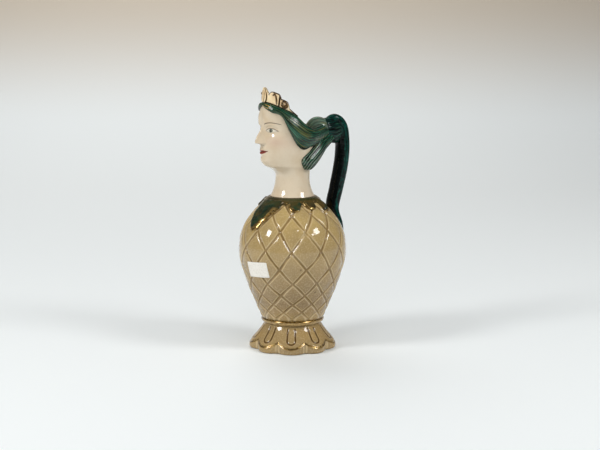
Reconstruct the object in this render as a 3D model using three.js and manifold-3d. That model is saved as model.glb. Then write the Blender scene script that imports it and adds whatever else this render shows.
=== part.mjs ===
// A face jug of glazed earthenware: a lady's head and neck over a latticed belly on a petalled foot.
// It is cast and modelled in pieces that are luted together with slip before firing.
// Millimetres, +Z up. The origin is the middle of the flat base, and the face looks along -Y.
// Azimuths run round the jug's axis in degrees, from the face towards the jug's own left, +X.

import * as THREE from 'three';
import { mergeVertices } from 'three/addons/utils/BufferGeometryUtils.js';
import Module from 'manifold-3d';

const wasm = await Module();
wasm.setup();

const { degToRad, radToDeg, lerp, clamp, smoothstep } = THREE.MathUtils;

// Walls and joints
const WALL = 4.5; // cast wall of foot, body and head
const JOINT = 0.3; // slip between two luted pieces

// Foot
const FOOT_HEIGHT = 31.2; // base to the seat of the body
const FLARE_HEIGHT = 26; // base to the top of the flare
const FOOT_NECK_RADIUS = 28;
const PETALS = 9;
const PETAL_AZIMUTH = 20; // middle of the first petal
const PETAL_TIP_RADIUS = 43;
const PETAL_VALLEY_RADIUS = 38.5;
const PETAL_EDGE = 6; // upright edge at a petal's tip
const PETAL_EDGE_SWELL = 0.6;
const FLARE_CURVE = 1.3; // 1 is a straight cone, more curves it inwards
const FLOOR = 5;
const BEAD_RADIUS = 31.5;

// Body
const BODY_HEIGHT = 119.5;
const BODY_BOTTOM_RADIUS = 31.6;
const BODY_RADIUS = 53.7; // widest
const BODY_WIDEST = 68.5; // height of the widest ring over the body's lower edge
const NECK_BASE_RADIUS = 22.4;
const LATTICE_LINES = 12; // incised lines in each of the two crossing families
const LATTICE_ROWS = 9; // rows of crossings between the plain borders
const LATTICE_STEEPENING = 2.1; // climb of the lines at the top for 1 at the bottom
const LATTICE_AZIMUTH = 2; // a crossing of the lowest row
const LATTICE_BORDER = 2; // plain edge under the lattice
const GROOVE_WIDTH = 1.6;
const GROOVE_DEPTH = 0.8;

// Collar and its leaves
const COLLAR_DROP = 6; // down the shoulder from the neck joint
const COLLAR_LIP = 1.4; // up the neck from the joint
const COLLAR_THICKNESS = 1.5;
const LEAF_THICKNESS = 2;
const LEAF_TIP = 0.08; // share of a leaf's width left at its blunt tip
const FRONT_LEAF_LENGTH = 36;
const FRONT_LEAF_WIDTH = 34;
const FRONT_LEAF_FULLNESS = 1.25; // 1 is a plain triangle, 2 a half ellipse
const LOBE_WIDTH = 13;
const LOBE_FULLNESS = 2;
const FIRST_LOBE_LENGTH = 11;
const MIDDLE_LOBE_LENGTH = 9;
const BACK_LOBE_LENGTH = 15;
const FRONT_LEAF_AZIMUTH = 10;
const LOBE_AZIMUTHS = { left: [66, 97, 133], right: [-48, -81, -119] };

// Neck and head
const NECK_RADIUS = 17.2;
const CHIN_HEIGHT = 33; // neck joint to chin
const FACE_HEIGHT = 60; // chin to hairline, in three equal thirds
const HEAD_HALF_BREADTH = 24;
const FACE_DEPTH = 33.6; // axis to the plane of the face
const BACK_DEPTH = 24; // axis to the back of the head
const NOSE_RISE = 7.5;
const RIM_OVER_HAIRLINE = 1;
const RIM_TILT = 27; // the pouring mouth slopes down to the back
const RIM_DIP = 4; // further fall of the mouth behind the tiara

// Hair
const PARTING = 3; // azimuth where each side starts
const HAIR_END = 152;
const HAIR_EDGE = 1.3; // thickness along its borders
const HAIR_SWELL = 4.6; // further thickness in the middle of the sweep
const CHIGNON_HEIGHT = 31.5; // chin to its middle
const CHIGNON_SETBACK = 4.5; // its middle behind the back of the head
const CHIGNON_HALF_BREADTH = 12.5;
const CHIGNON_HALF_DEPTH = 13;
const CHIGNON_HALF_HEIGHT = 13.5;
const NAPE_HALF_THICKNESS = 8.2;

// Handle
const HANDLE_WIDTH = 14.2;
const HANDLE_THICKNESS = 13.2;
const GATHER_HALF_WIDTH = 11.4; // where the tail is gathered behind the knot
const GATHER_HALF_HEIGHT = 11.8;
const HANDLE_OVERHANG = 3.3; // middle line at its farthest, beyond the body's widest ring
const HANDLE_RISE = 8.9; // middle line at its top over the chignon's middle
const HANDLE_LANDING = 14; // below the body's top edge
const HANDLE_TAIL = 18; // tail smeared on below the landing

// Tiara
const TIARA_SPAN = 75; // azimuth of each end
const TIARA_HEIGHT = 15.6; // at the front
const TIARA_THICKNESS = 3;
const TIARA_SETBACK = 0.5; // face of the tiara behind the rim's outer edge
const TIARA_LEAN = -0.03; // outwards for each millimetre up
const TIARA_BAND = 4.8; // low stretch between the volute and the end
const TIARA_END_HEIGHT = 1.4;
const POINT_SPAN = 26; // azimuth where the front point runs out
const ARCH_AZIMUTH = 29;
const ARCH_HALF_SPAN = 7.2; // in azimuth, along its coil
const ARCH_HEIGHT = 13.4;
const VOLUTE_AZIMUTH = 45.5;
const VOLUTE_HEIGHT = 9.6;
const VOLUTE_RADIUS = 3.6;
const COIL_RADIUS = 0.8;
const PALMETTE_WIDTH = 11;
const PALMETTE_THICKNESS = 2;
const PALMETTE_HEIGHT = 14.6;

// Levels that several pieces share
const bodyBottom = FOOT_HEIGHT + JOINT;
const bodyTop = bodyBottom + BODY_HEIGHT;
const neckJoint = bodyTop + JOINT;
const rimFront = CHIN_HEIGHT + FACE_HEIGHT + RIM_OVER_HAIRLINE;
const handleReach = BODY_RADIUS + HANDLE_OVERHANG;
const handleFace = handleReach - HANDLE_THICKNESS / 2;

const roundSteps = 36;
const polar = (radius, azimuth, z) =>
  new THREE.Vector3(radius * Math.sin(azimuth), -radius * Math.cos(azimuth), z);
const steps = (from, to, count) => Array.from({ length: count + 1 }, (_, i) => lerp(from, to, i / count));
const turn = (count) => steps(0, 2 * Math.PI, count).slice(0, count);

// One closed skin: shared vertices merged, collapsed triangles dropped, faces turned outwards.
function closedSkin(raw) {
  raw.deleteAttribute('normal');
  raw.deleteAttribute('uv');
  const merged = mergeVertices(raw, 1e-4);
  const points = merged.getAttribute('position');
  const [a, b, c] = [0, 1, 2].map(() => new THREE.Vector3());
  const index = [];
  let volume = 0;
  for (let i = 0; i < merged.index.count; i += 3) {
    const corner = [0, 1, 2].map((k) => merged.index.getX(i + k));
    if (new Set(corner).size < 3) continue;
    index.push(...corner);
    [a, b, c].forEach((point, k) => point.fromBufferAttribute(points, corner[k]));
    volume += a.dot(b.cross(c));
  }
  if (volume < 0) index.reverse();
  merged.setIndex(index);
  merged.computeVertexNormals();
  return merged;
}

// A skin over a row of sections, each a loop of points. A ring of sections closes on itself. An open
// row is capped: a loop there runs along one edge and back along the other, so the caps are strips.
function loft(sections, ring = false) {
  const size = sections[0].length;
  const at = (i, j) => (i % sections.length) * size + (j % size);
  const index = [];
  const quad = (p, q, r, s) => index.push(p, q, r, p, r, s);
  const spans = ring ? sections.length : sections.length - 1;
  for (let i = 0; i < spans; i++) {
    for (let j = 0; j < size; j++) quad(at(i, j), at(i + 1, j), at(i + 1, j + 1), at(i, j + 1));
  }
  if (!ring) {
    for (let j = 0; j < size / 2 - 1; j++) {
      quad(at(0, j), at(0, j + 1), at(0, size - 2 - j), at(0, size - 1 - j));
      quad(at(spans, size - 1 - j), at(spans, size - 2 - j), at(spans, j + 1), at(spans, j));
    }
  }
  const points = sections.flat();
  return closedSkin(new THREE.BufferGeometry().setFromPoints(points).setIndex(index));
}

// A profile of [radius, height] pairs turned round the jug's axis.
function revolve(profile) {
  const outline = profile.map(([radius, z]) => new THREE.Vector2(radius, z));
  return closedSkin(new THREE.LatheGeometry(outline, roundSteps).rotateX(Math.PI / 2));
}

function solid(geometry) {
  const vertProperties = new Float32Array(geometry.getAttribute('position').array);
  const triVerts = new Uint32Array(geometry.index.array);
  return new wasm.Manifold(new wasm.Mesh({ numProp: 3, vertProperties, triVerts }));
}

function skinOf(stock) {
  const { vertProperties, triVerts } = stock.getMesh();
  const result = new THREE.BufferGeometry();
  result.setAttribute('position', new THREE.Float32BufferAttribute(vertProperties, 3));
  result.setIndex(Array.from(triVerts));
  return closedSkin(result);
}

function carve(geometry, cutters) {
  return skinOf(cutters.reduce((stock, cutter) => stock.subtract(solid(cutter)), solid(geometry)));
}

function fuse(one, other) {
  return skinOf(solid(one).add(solid(other)));
}

// Foot: a flare that ends in a ring of upright petals, hollow over a flat floor, with a neck on top.
function petalRadius(azimuth) {
  const swing = Math.abs(Math.cos((PETALS / 2) * (azimuth - degToRad(PETAL_AZIMUTH))));
  return lerp(PETAL_VALLEY_RADIUS, PETAL_TIP_RADIUS, swing);
}

function flareRadius(z) {
  const fall = Math.max(0, (FLARE_HEIGHT - z) / (FLARE_HEIGHT - PETAL_EDGE));
  return lerp(FOOT_NECK_RADIUS, PETAL_TIP_RADIUS, fall ** FLARE_CURVE);
}

function flareHeight(radius) {
  const spread = (radius - FOOT_NECK_RADIUS) / (PETAL_TIP_RADIUS - FOOT_NECK_RADIUS);
  return lerp(FLARE_HEIGHT, PETAL_EDGE, spread ** (1 / FLARE_CURVE));
}

function footInside(z) {
  return Math.min(flareRadius(z + WALL) - WALL, PETAL_VALLEY_RADIUS - WALL);
}

function footSection(azimuth) {
  const edge = petalRadius(azimuth);
  const crest = flareHeight(edge);
  const flare = steps(crest, FLARE_HEIGHT, 4).map((z) => [flareRadius(z), z]);
  const hollow = steps(FLARE_HEIGHT, FLOOR, 3).map((z) => [footInside(z), z]);
  const outline = [
    [0, 0],
    [edge, 0],
    [edge + PETAL_EDGE_SWELL, crest / 2],
    ...flare,
    [FOOT_NECK_RADIUS, FOOT_HEIGHT],
    [FOOT_NECK_RADIUS - WALL, FOOT_HEIGHT],
    ...hollow,
    [0, FLOOR],
  ];
  return outline.map(([radius, z]) => polar(radius, azimuth, z));
}

const footShape = loft(turn(PETALS * 6).map(footSection), true);

// Bead: a coil pressed round the foot's neck, under the body.
function beadShape() {
  const inner = FOOT_NECK_RADIUS + JOINT;
  const bottom = FLARE_HEIGHT + JOINT;
  const top = FOOT_HEIGHT;
  const middle = (bottom + top) / 2;
  const half = (top - bottom) / 2;
  const round = steps(-Math.PI / 2, Math.PI / 2, 4).map((angle) => {
    const radius = lerp(inner, BEAD_RADIUS, 0.35 + 0.65 * Math.cos(angle));
    return [radius, middle + half * Math.sin(angle)];
  });
  return revolve([[inner, bottom], ...round, [inner, top], [inner, bottom]]);
}

// Body: a hollow belly whose outline is two curves that meet upright at its widest ring.
const widest = bodyBottom + BODY_WIDEST;
const bodyLine = new THREE.CurvePath();
bodyLine.add(
  new THREE.CubicBezierCurve(
    new THREE.Vector2(BODY_BOTTOM_RADIUS, bodyBottom),
    new THREE.Vector2(lerp(BODY_BOTTOM_RADIUS, BODY_RADIUS, 0.45), lerp(bodyBottom, widest, 0.345)),
    new THREE.Vector2(BODY_RADIUS, lerp(bodyBottom, widest, 0.72)),
    new THREE.Vector2(BODY_RADIUS, widest),
  ),
);
bodyLine.add(
  new THREE.CubicBezierCurve(
    new THREE.Vector2(BODY_RADIUS, widest),
    new THREE.Vector2(BODY_RADIUS, lerp(widest, bodyTop, 0.42)),
    new THREE.Vector2(lerp(NECK_BASE_RADIUS, BODY_RADIUS, 0.6), lerp(widest, bodyTop, 0.76)),
    new THREE.Vector2(NECK_BASE_RADIUS, bodyTop),
  ),
);
const bodyLength = bodyLine.getLength();

// A place on the body's outline, by its distance down from the top edge, lifted off the surface.
function bodyOutline(drop, lift) {
  const along = clamp(1 - drop / bodyLength, 0, 1);
  const place = bodyLine.getPointAt(along);
  const tangent = bodyLine.getTangentAt(along);
  return [place.x + lift * tangent.y, place.y - lift * tangent.x];
}

function onBody(drop, azimuth, lift) {
  const [radius, z] = bodyOutline(drop, lift);
  return polar(radius, azimuth, z);
}

function bodyRadius(z) {
  let [low, high] = [0, 1];
  for (let i = 0; i < 30; i++) {
    const middle = (low + high) / 2;
    if (bodyLine.getPointAt(middle).y < z) low = middle;
    else high = middle;
  }
  return bodyLine.getPointAt(low).x;
}

// The lattice lines climb a little steeper towards the top. Its rows of crossings are equal shares
// of their turn round the body, and latticeDrops holds how far down each twentieth of a row lies.
const rowSlices = 20;
const latticeDrops = (() => {
  const slices = steps(bodyLength - LATTICE_BORDER, COLLAR_DROP, 400);
  const sums = [0];
  slices.slice(1).forEach((drop, i) => {
    const [radius] = bodyOutline((drop + slices[i]) / 2, 0);
    const climb = lerp(1, LATTICE_STEEPENING, i / slices.length);
    sums.push(sums[i] + (slices[i] - drop) / (radius * climb));
  });
  const levels = new THREE.LinearInterpolant(new Float32Array(sums), new Float32Array(slices), 1);
  return steps(0, sums.at(-1), rowSlices * LATTICE_ROWS).map((sum) => levels.evaluate(sum)[0]);
})();

function onLattice(row, azimuth, depth) {
  const place = clamp(row, 0, LATTICE_ROWS) * rowSlices;
  const below = Math.min(Math.floor(place), latticeDrops.length - 2);
  return onBody(lerp(latticeDrops[below], latticeDrops[below + 1], place - below), azimuth, -depth);
}

// Body: diamonds between V-shaped grooves outside, plain inside, flat seats above and below.
function bodyShape() {
  const cell = (2 * Math.PI) / LATTICE_LINES;
  const start = degToRad(LATTICE_AZIMUTH);
  const edge = onLattice(LATTICE_ROWS / 2, 0, 0).distanceTo(onLattice(LATTICE_ROWS / 2 + 1, cell / 2, 0));
  const inset = GROOVE_WIDTH / 2 / edge;
  const corners = [];
  const triangle = (a, b, c) => corners.push(a, b, c);
  const quad = (a, b, c, d) => {
    triangle(a, b, c);
    triangle(a, c, d);
  };

  // A diamond in quarters. Its coordinates u and v run up to the right and up to the left from its
  // foot. The upper half alone is what stands on a plain border.
  const quarters = [
    (u, v) => [u, v],
    (u, v) => [1 - v, u],
    (u, v) => [1 - u, 1 - v],
    (u, v) => [v, 1 - u],
  ];
  const diamond = (row, azimuth, part) => {
    quarters.forEach((rotate, k) => {
      const at = (p, q, depth) => {
        const [u, v] = part === 'lower' ? rotate(p, q).map((w) => 1 - w) : rotate(p, q);
        return onLattice(row + u + v, azimuth + ((u - v) * cell) / 2, depth);
      };
      const middle = at(0.5, 0.5, 0);
      const lip = [inset, 0.5, 1 - inset].map((p) => at(p, inset, 0));
      const groove = [0, 0.5, 1].map((p) => at(p, 0, GROOVE_DEPTH));
      const whole = part === 'whole';
      if (whole || k === 1 || k === 2) {
        triangle(lip[0], lip[1], middle);
        quad(groove[0], groove[1], lip[1], lip[0]);
        quad(groove[1], groove[2], lip[2], lip[1]);
      }
      if (whole || k === 2 || k === 3) triangle(lip[0], middle, at(inset, 0.5, 0));
    });
  };
  for (let column = 0; column < LATTICE_LINES; column++) {
    const azimuthOf = (row) => start + (column + (Math.abs(row) % 2) / 2) * cell;
    diamond(-1, azimuthOf(-1), 'upper');
    diamond(LATTICE_ROWS - 1, azimuthOf(LATTICE_ROWS - 1), 'lower');
    for (let row = 0; row < LATTICE_ROWS - 1; row++) diamond(row, azimuthOf(row), 'whole');
  }

  // Rings from the lower border down under the seat, up the inside and over to the upper border.
  const shift = ((LATTICE_ROWS % 2) * cell) / 2;
  const columns = Array.from({ length: LATTICE_LINES }, (_, k) => start + k * cell);
  const around = columns.flatMap((left) => [
    [left, GROOVE_DEPTH],
    [left + inset * cell, 0],
    [left + cell / 2, 0],
    [left + (1 - inset) * cell, 0],
  ]);
  const ring = (radius, z, turned) => around.map(([azimuth]) => polar(radius, azimuth + turned, z));
  const inside = steps(bodyLength, 0, 9).map((drop) => {
    const [radius, z] = bodyOutline(drop, -WALL);
    return ring(radius, z, shift * (1 - drop / bodyLength));
  });
  inside[0] = ring(BODY_BOTTOM_RADIUS - WALL, bodyBottom, 0);
  inside[inside.length - 1] = ring(NECK_BASE_RADIUS - WALL, bodyTop, shift);
  const rings = [
    around.map(([azimuth, depth]) => onLattice(0, azimuth, depth)),
    ring(BODY_BOTTOM_RADIUS, bodyBottom, 0),
    ...inside,
    ring(NECK_BASE_RADIUS, bodyTop, shift),
    around.map(([azimuth, depth]) => onLattice(LATTICE_ROWS, azimuth + shift, depth)),
  ];
  rings.slice(1).forEach((upper, i) => {
    around.forEach((_, j) => {
      const next = (j + 1) % around.length;
      quad(rings[i][j], upper[j], upper[next], rings[i][next]);
    });
  });
  return closedSkin(new THREE.BufferGeometry().setFromPoints(corners));
}

// The whole belly as one solid, grown by the slip joint, for cutting what lands on it.
function bodyCutter() {
  const outside = steps(bodyLength, 0, 16).map((drop) => bodyOutline(drop, JOINT));
  return revolve([[0, bodyBottom], ...outside, [0, bodyTop]]);
}

// Collar: a thin band over the neck joint, down the shoulder and a little up the neck.
function collarShape() {
  const band = (azimuth, lift) => [
    ...steps(COLLAR_DROP, 1, 2).map((drop) => onBody(drop, azimuth, lift)),
    polar(headOval(azimuth, COLLAR_LIP) + lift, azimuth, neckJoint + COLLAR_LIP),
  ];
  const section = (azimuth) => [
    ...band(azimuth, JOINT + COLLAR_THICKNESS),
    ...band(azimuth, JOINT).reverse(),
  ];
  return loft(turn(roundSteps).map(section), true);
}

// A leaf or sprig laid on a curved surface: a spine from root to tip, crowned across its width.
// place(along, across, lift) gives a point, and outline(t) the half-width from root (0) to tip (1).
function sprig(place, length, outline, thickness, rows, columns) {
  const sections = steps(0, 1, rows).map((t) => {
    const across = steps(-1, 1, columns);
    const face = across.map((s) => {
      const crown = thickness * (1 - 0.55 * s * s) * (1 - 0.4 * t);
      return place(t * length, s * outline(t), JOINT + crown);
    });
    const back = across.map((s) => place(t * length, s * outline(t), JOINT));
    return [...face, ...back.reverse()];
  });
  return loft(sections);
}

function leafShape(azimuth, length, width, fullness) {
  const root = COLLAR_DROP + JOINT;
  const middle = degToRad(azimuth);
  const place = (along, across, lift) => {
    const [radius] = bodyOutline(root + along, 0);
    return onBody(root + along, middle + across / radius, lift);
  };
  const outline = (t) => (width / 2) * Math.max(LEAF_TIP, (1 - t ** fullness) ** (1 / fullness));
  return sprig(place, length, outline, LEAF_THICKNESS, Math.ceil(length / 5) + 2, 4);
}

// Head: level ovals give the neck and skull. Each row holds a height over the neck joint, the half
// breadth, the depth to the front and to the back, and how square the oval is.
const third = FACE_HEIGHT / 3;
const flaredNeck = (share) => lerp(NECK_RADIUS, NECK_BASE_RADIUS, share);
const ovals = [
  [0, flaredNeck(1), flaredNeck(1), flaredNeck(1), 2],
  [0.2 * CHIN_HEIGHT, flaredNeck(0.4), flaredNeck(0.4), flaredNeck(0.4), 2],
  [0.48 * CHIN_HEIGHT, NECK_RADIUS, NECK_RADIUS, NECK_RADIUS, 2],
  [0.72 * CHIN_HEIGHT, NECK_RADIUS, NECK_RADIUS, NECK_RADIUS, 2],
  [0.86 * CHIN_HEIGHT, 1.03 * NECK_RADIUS, lerp(NECK_RADIUS, FACE_DEPTH, 0.3), NECK_RADIUS, 1.95],
  [0.96 * CHIN_HEIGHT, 1.08 * NECK_RADIUS, lerp(NECK_RADIUS, FACE_DEPTH, 0.72), NECK_RADIUS, 1.9],
  [CHIN_HEIGHT + 0.1 * third, 0.8 * HEAD_HALF_BREADTH, 0.95 * FACE_DEPTH, 0.78 * BACK_DEPTH, 1.85],
  [CHIN_HEIGHT + 0.35 * third, 0.86 * HEAD_HALF_BREADTH, FACE_DEPTH, 0.83 * BACK_DEPTH, 1.85],
  [CHIN_HEIGHT + third, 0.95 * HEAD_HALF_BREADTH, FACE_DEPTH, 0.92 * BACK_DEPTH, 2.05],
  [CHIN_HEIGHT + 1.7 * third, HEAD_HALF_BREADTH, 0.98 * FACE_DEPTH, 0.98 * BACK_DEPTH, 2.2],
  [CHIN_HEIGHT + 2.1 * third, HEAD_HALF_BREADTH, FACE_DEPTH, BACK_DEPTH, 2.25],
  [CHIN_HEIGHT + 2.6 * third, 0.98 * HEAD_HALF_BREADTH, 0.98 * FACE_DEPTH, BACK_DEPTH, 2.2],
  [CHIN_HEIGHT + 3.2 * third, 0.94 * HEAD_HALF_BREADTH, 0.92 * FACE_DEPTH, 0.97 * BACK_DEPTH, 2.15],
];
const ovalAt = new THREE.CubicInterpolant(
  new Float32Array(ovals.map(([height]) => height)),
  new Float32Array(ovals.flatMap(([, ...oval]) => oval)),
  4,
);

function headOval(azimuth, height) {
  const [breadth, front, back, square] = ovalAt.evaluate(height);
  const depth = Math.cos(azimuth) > 0 ? front : back;
  const across = Math.abs(Math.sin(azimuth)) / breadth;
  const along = Math.abs(Math.cos(azimuth)) / depth;
  return (across ** square + along ** square) ** (-1 / square);
}

// Swellings and hollows of the face, mirrored in its middle. Places and spreads are in thirds of the
// face, from its middle line and up from the chin. The rise is in millimetres.
const features = [
  { across: 0, up: 0.22, wide: 0.27, tall: 0.2, rise: 1.3 }, // chin
  { across: 0, up: 0.43, wide: 0.27, tall: 0.09, rise: -1 }, // hollow under the lip
  { across: 0, up: 0.58, wide: 0.2, tall: 0.08, rise: 1.6 }, // lower lip
  { across: 0, up: 0.74, wide: 0.24, tall: 0.075, rise: 1.5 }, // upper lip
  { across: 0.2, up: 1.08, wide: 0.09, tall: 0.09, rise: 2.2 }, // wings of the nose
  { across: 0.56, up: 1.72, wide: 0.26, tall: 0.18, rise: -2.6 }, // eye sockets
  { across: 0.57, up: 1.7, wide: 0.19, tall: 0.12, rise: 2.4 }, // eyes
  { across: 0.5, up: 1.99, wide: 0.3, tall: 0.1, rise: 0.7 }, // brows
  { across: 0.78, up: 1.3, wide: 0.3, tall: 0.3, rise: 1 }, // cheeks
];

function noseRise(across, up) {
  const bridge = smoothstep(2.05 - up, 0, 0.9);
  const base = smoothstep(up, 0.98, 1.1);
  const spread = lerp(0.19, 0.12, smoothstep(up, 1.1, 1.6));
  return NOSE_RISE * bridge * base * Math.exp(-((across / spread) ** 2));
}

function faceRelief(azimuth, height, radius) {
  if (Math.cos(azimuth) <= 0) return 0;
  const across = Math.abs(radius * Math.sin(azimuth)) / third;
  const up = (height - CHIN_HEIGHT) / third;
  return features.reduce((sum, feature) => {
    const sideways = (across - feature.across) / feature.wide;
    const upwards = (up - feature.up) / feature.tall;
    return sum + feature.rise * Math.exp(-(sideways ** 2) - upwards ** 2);
  }, noseRise(across, up));
}

function headRadius(azimuth, height) {
  const radius = headOval(azimuth, height);
  return radius + faceRelief(azimuth, height, radius);
}

// The mouth slopes from the hairline down to the back of the head, and dips behind the tiara.
function rimLevel(radius, azimuth) {
  const behind = headOval(0, rimFront) - radius * Math.cos(azimuth);
  const dip = RIM_DIP * smoothstep(behind, 0.65 * FACE_DEPTH, 1.05 * FACE_DEPTH);
  return rimFront - Math.tan(degToRad(RIM_TILT)) * behind - dip;
}

function rimHeight(azimuth) {
  let height = rimFront;
  for (let i = 0; i < 8; i++) height = rimLevel(headOval(azimuth, height), azimuth);
  return height;
}

const headAzimuths = [
  ...steps(-54, 54, 20),
  ...steps(63, 90, 3),
  ...steps(105, 255, 10),
  ...steps(270, 297, 3),
].map(degToRad);
const headRows = [...steps(0, 0.28, 4), ...steps(0.31, 1, 23)];

function headSection(azimuth) {
  const rim = rimHeight(azimuth);
  const lag = WALL * 0.7;
  const outside = headRows.map((share) => [headRadius(azimuth, share * rim), share * rim]);
  const rimInside = rimLevel(headOval(azimuth, rim) - WALL, azimuth);
  const inside = steps(rimInside, 0, 6).map((height) => {
    const behind = Math.max(0, height - lag);
    return [Math.min(headOval(azimuth, behind), headOval(azimuth, height)) - WALL, height];
  });
  return [...outside, ...inside].map(([radius, height]) => polar(radius, azimuth, neckJoint + height));
}

// The whole head as one solid, grown by the slip joint, for cutting what is pressed on it.
function headCutter() {
  const section = (azimuth) => {
    const rim = rimHeight(azimuth);
    const skin = headRows.map((share) => {
      const radius = headRadius(azimuth, share * rim) + JOINT;
      return polar(radius, azimuth, neckJoint + share * rim);
    });
    return [polar(0, 0, neckJoint), ...skin, polar(0, 0, neckJoint + rimHeight(Math.PI / 2))];
  };
  return loft(headAzimuths.map(section), true);
}

// Hair: each side sweeps from the parting over the temple to the back, thick in the middle of its
// sweep. Its lower border falls from the hairline to behind the jaw, and its upper border is the rim.
const hairline = new THREE.CubicInterpolant(
  new Float32Array([0, 23, 43, 57, 74, 92, 120, HAIR_END]),
  new Float32Array([2.9, 2.6, 2.36, 1.62, 0.98, 0.76, 0.9, 1.2]),
  1,
);

function hairSide(side, grow) {
  const columns = steps(PARTING, HAIR_END, 16);
  const sections = columns.map((degrees) => {
    const azimuth = side * degToRad(degrees);
    const low = CHIN_HEIGHT + third * hairline.evaluate(degrees)[0] - grow;
    const high = rimHeight(azimuth) + grow;
    const fullness = lerp(0.25, 1, smoothstep(degrees, 15, 70));
    const rows = steps(0, 1, 6);
    const face = rows.map((t) => {
      const height = lerp(low, high, t);
      const thickness = HAIR_EDGE + HAIR_SWELL * fullness * Math.sin(Math.PI * t) ** 0.8;
      const radius = headRadius(azimuth, height) + JOINT + thickness + grow;
      return polar(radius, azimuth, neckJoint + height);
    });
    const back = rows.map((t) => {
      const height = lerp(low, high, t);
      return polar(headRadius(azimuth, height) + JOINT - 2 * grow, azimuth, neckJoint + height);
    });
    return [...face, ...back.reverse()];
  });
  return loft(sections);
}

// Chignon: a rounded knot at the back of the head.
const chignonLevel = neckJoint + CHIN_HEIGHT + CHIGNON_HEIGHT;
const chignonMiddle = new THREE.Vector3(0, BACK_DEPTH + CHIGNON_SETBACK, chignonLevel);

function chignonBall(grow) {
  const ball = new THREE.SphereGeometry(1, 16, 9).rotateX(Math.PI / 2);
  ball.scale(CHIGNON_HALF_BREADTH + grow, CHIGNON_HALF_DEPTH + grow, CHIGNON_HALF_HEIGHT + grow);
  ball.translate(...chignonMiddle);
  return closedSkin(ball);
}

// A rounded bar along a path of points, with a half-width and a half-thickness at each. Its width
// lies across the path, nearest to the given direction.
function bar(path, width, thickness, across, square, rows, sides) {
  const curve = new THREE.CatmullRomCurve3(path);
  const sizes = new THREE.CubicInterpolant(
    new Float32Array(path.map((_, i) => i / (path.length - 1))),
    new Float32Array(path.flatMap((_, i) => [width[i], thickness[i]])),
    2,
  );
  const rounded = (value) => Math.sign(value) * Math.abs(value) ** (2 / square);
  const sections = steps(0, 1, rows).map((t) => {
    const middle = curve.getPoint(t);
    const ahead = curve.getTangent(t);
    const outward = new THREE.Vector3().crossVectors(ahead, across).normalize();
    const sideways = new THREE.Vector3().crossVectors(outward, ahead);
    const [half, deep] = sizes.evaluate(t);
    return turn(sides).map((angle) =>
      middle
        .clone()
        .addScaledVector(sideways, half * rounded(Math.cos(angle + Math.PI / sides)))
        .addScaledVector(outward, deep * rounded(Math.sin(angle + Math.PI / sides))),
    );
  });
  return loft(sections);
}

const sideways = new THREE.Vector3(1, 0, 0);

// Nape locks: from behind each ear, level with the chin, up and back to the gathered tail, where they
// meet in the middle.
function napeLock(side, grow) {
  const bottom = neckJoint + CHIN_HEIGHT;
  const rise = chignonMiddle.z - bottom;
  const root = lerp(chignonMiddle.y, handleFace, 0.51);
  const path = [
    new THREE.Vector3(side * 1.08 * NECK_RADIUS, 0.06 * NECK_RADIUS, bottom - 0.02 * rise),
    new THREE.Vector3(side * 1.02 * NECK_RADIUS, 0.24 * NECK_RADIUS, bottom + 0.04 * rise),
    new THREE.Vector3(side * 0.9 * NECK_RADIUS, 0.6 * NECK_RADIUS, bottom + 0.16 * rise),
    new THREE.Vector3(side * 0.58 * NECK_RADIUS, lerp(0.6 * NECK_RADIUS, root, 0.5), bottom + 0.57 * rise),
    new THREE.Vector3(side * 0.25 * NECK_RADIUS, root, bottom + 0.78 * rise),
  ];
  const size = [0.6, 0.98, 1.12, 1, 0.68].map((share) => share * NAPE_HALF_THICKNESS + grow);
  return bar(path, size, size, sideways, 2, 9, 10);
}

// Everything across the middle plane from the given side, to part the two nape locks.
function otherSide(side) {
  const reach = 2 * handleReach;
  const block = new THREE.BoxGeometry(reach, reach, reach);
  block.translate(side * (JOINT / 2 - reach / 2), handleReach / 2, chignonMiddle.z);
  return closedSkin(block);
}

// Handle: a tail of hair that is gathered behind the knot, turns over and comes down to the shoulder,
// where its end is smeared on. The gathered root ends inside the tail.
function gatheredRoot() {
  const outside = [0.16, 0.45, 0.73, 0.98].map((share) => lerp(chignonMiddle.y, handleFace, share));
  const path = [...outside, handleFace + 0.35 * HANDLE_THICKNESS].map((y) => {
    return new THREE.Vector3(0, y, chignonMiddle.z);
  });
  const width = [1, 0.95, 0.82, 0.68, 0.5].map((share) => share * GATHER_HALF_WIDTH);
  const height = [1, 1.02, 1.14, 1.12, 0.7].map((share) => share * GATHER_HALF_HEIGHT);
  return bar(path, width, height, sideways, 2.4, 6, 12);
}

function tail() {
  const knot = chignonMiddle;
  const landing = bodyTop - HANDLE_LANDING;
  const drop = knot.z - landing;
  const end = landing - HANDLE_TAIL;
  const smear = lerp(landing, end, 0.5);
  const path = [
    [lerp(knot.y, handleReach, 0.42), knot.z + 0.55 * HANDLE_RISE],
    [lerp(knot.y, handleReach, 0.69), knot.z + HANDLE_RISE],
    [handleReach - 0.16 * HANDLE_THICKNESS, knot.z + 0.2 * HANDLE_RISE],
    [handleReach, knot.z - 0.16 * drop],
    [handleReach - 0.03 * HANDLE_THICKNESS, knot.z - 0.34 * drop],
    [handleReach - 0.2 * HANDLE_THICKNESS, knot.z - 0.52 * drop],
    [lerp(handleReach, bodyRadius(landing), 0.4), knot.z - 0.76 * drop],
    [bodyRadius(landing) + 0.48 * HANDLE_THICKNESS, landing],
    [bodyRadius(smear) + 0.13 * HANDLE_THICKNESS, smear],
    [bodyRadius(end) + 0.03 * HANDLE_THICKNESS, end],
  ].map(([y, z]) => new THREE.Vector3(0, y, z));
  const width = [0.95, 1, 1, 1, 1, 1, 1, 1, 0.9, 0.45].map((share) => (share * HANDLE_WIDTH) / 2);
  const thick = [0.95, 1, 1, 1, 1, 1, 0.95, 0.85, 0.45, 0.18].map((share) => (share * HANDLE_THICKNESS) / 2);
  return bar(path, width, thick, sideways, 2.8, 23, 12);
}

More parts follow.
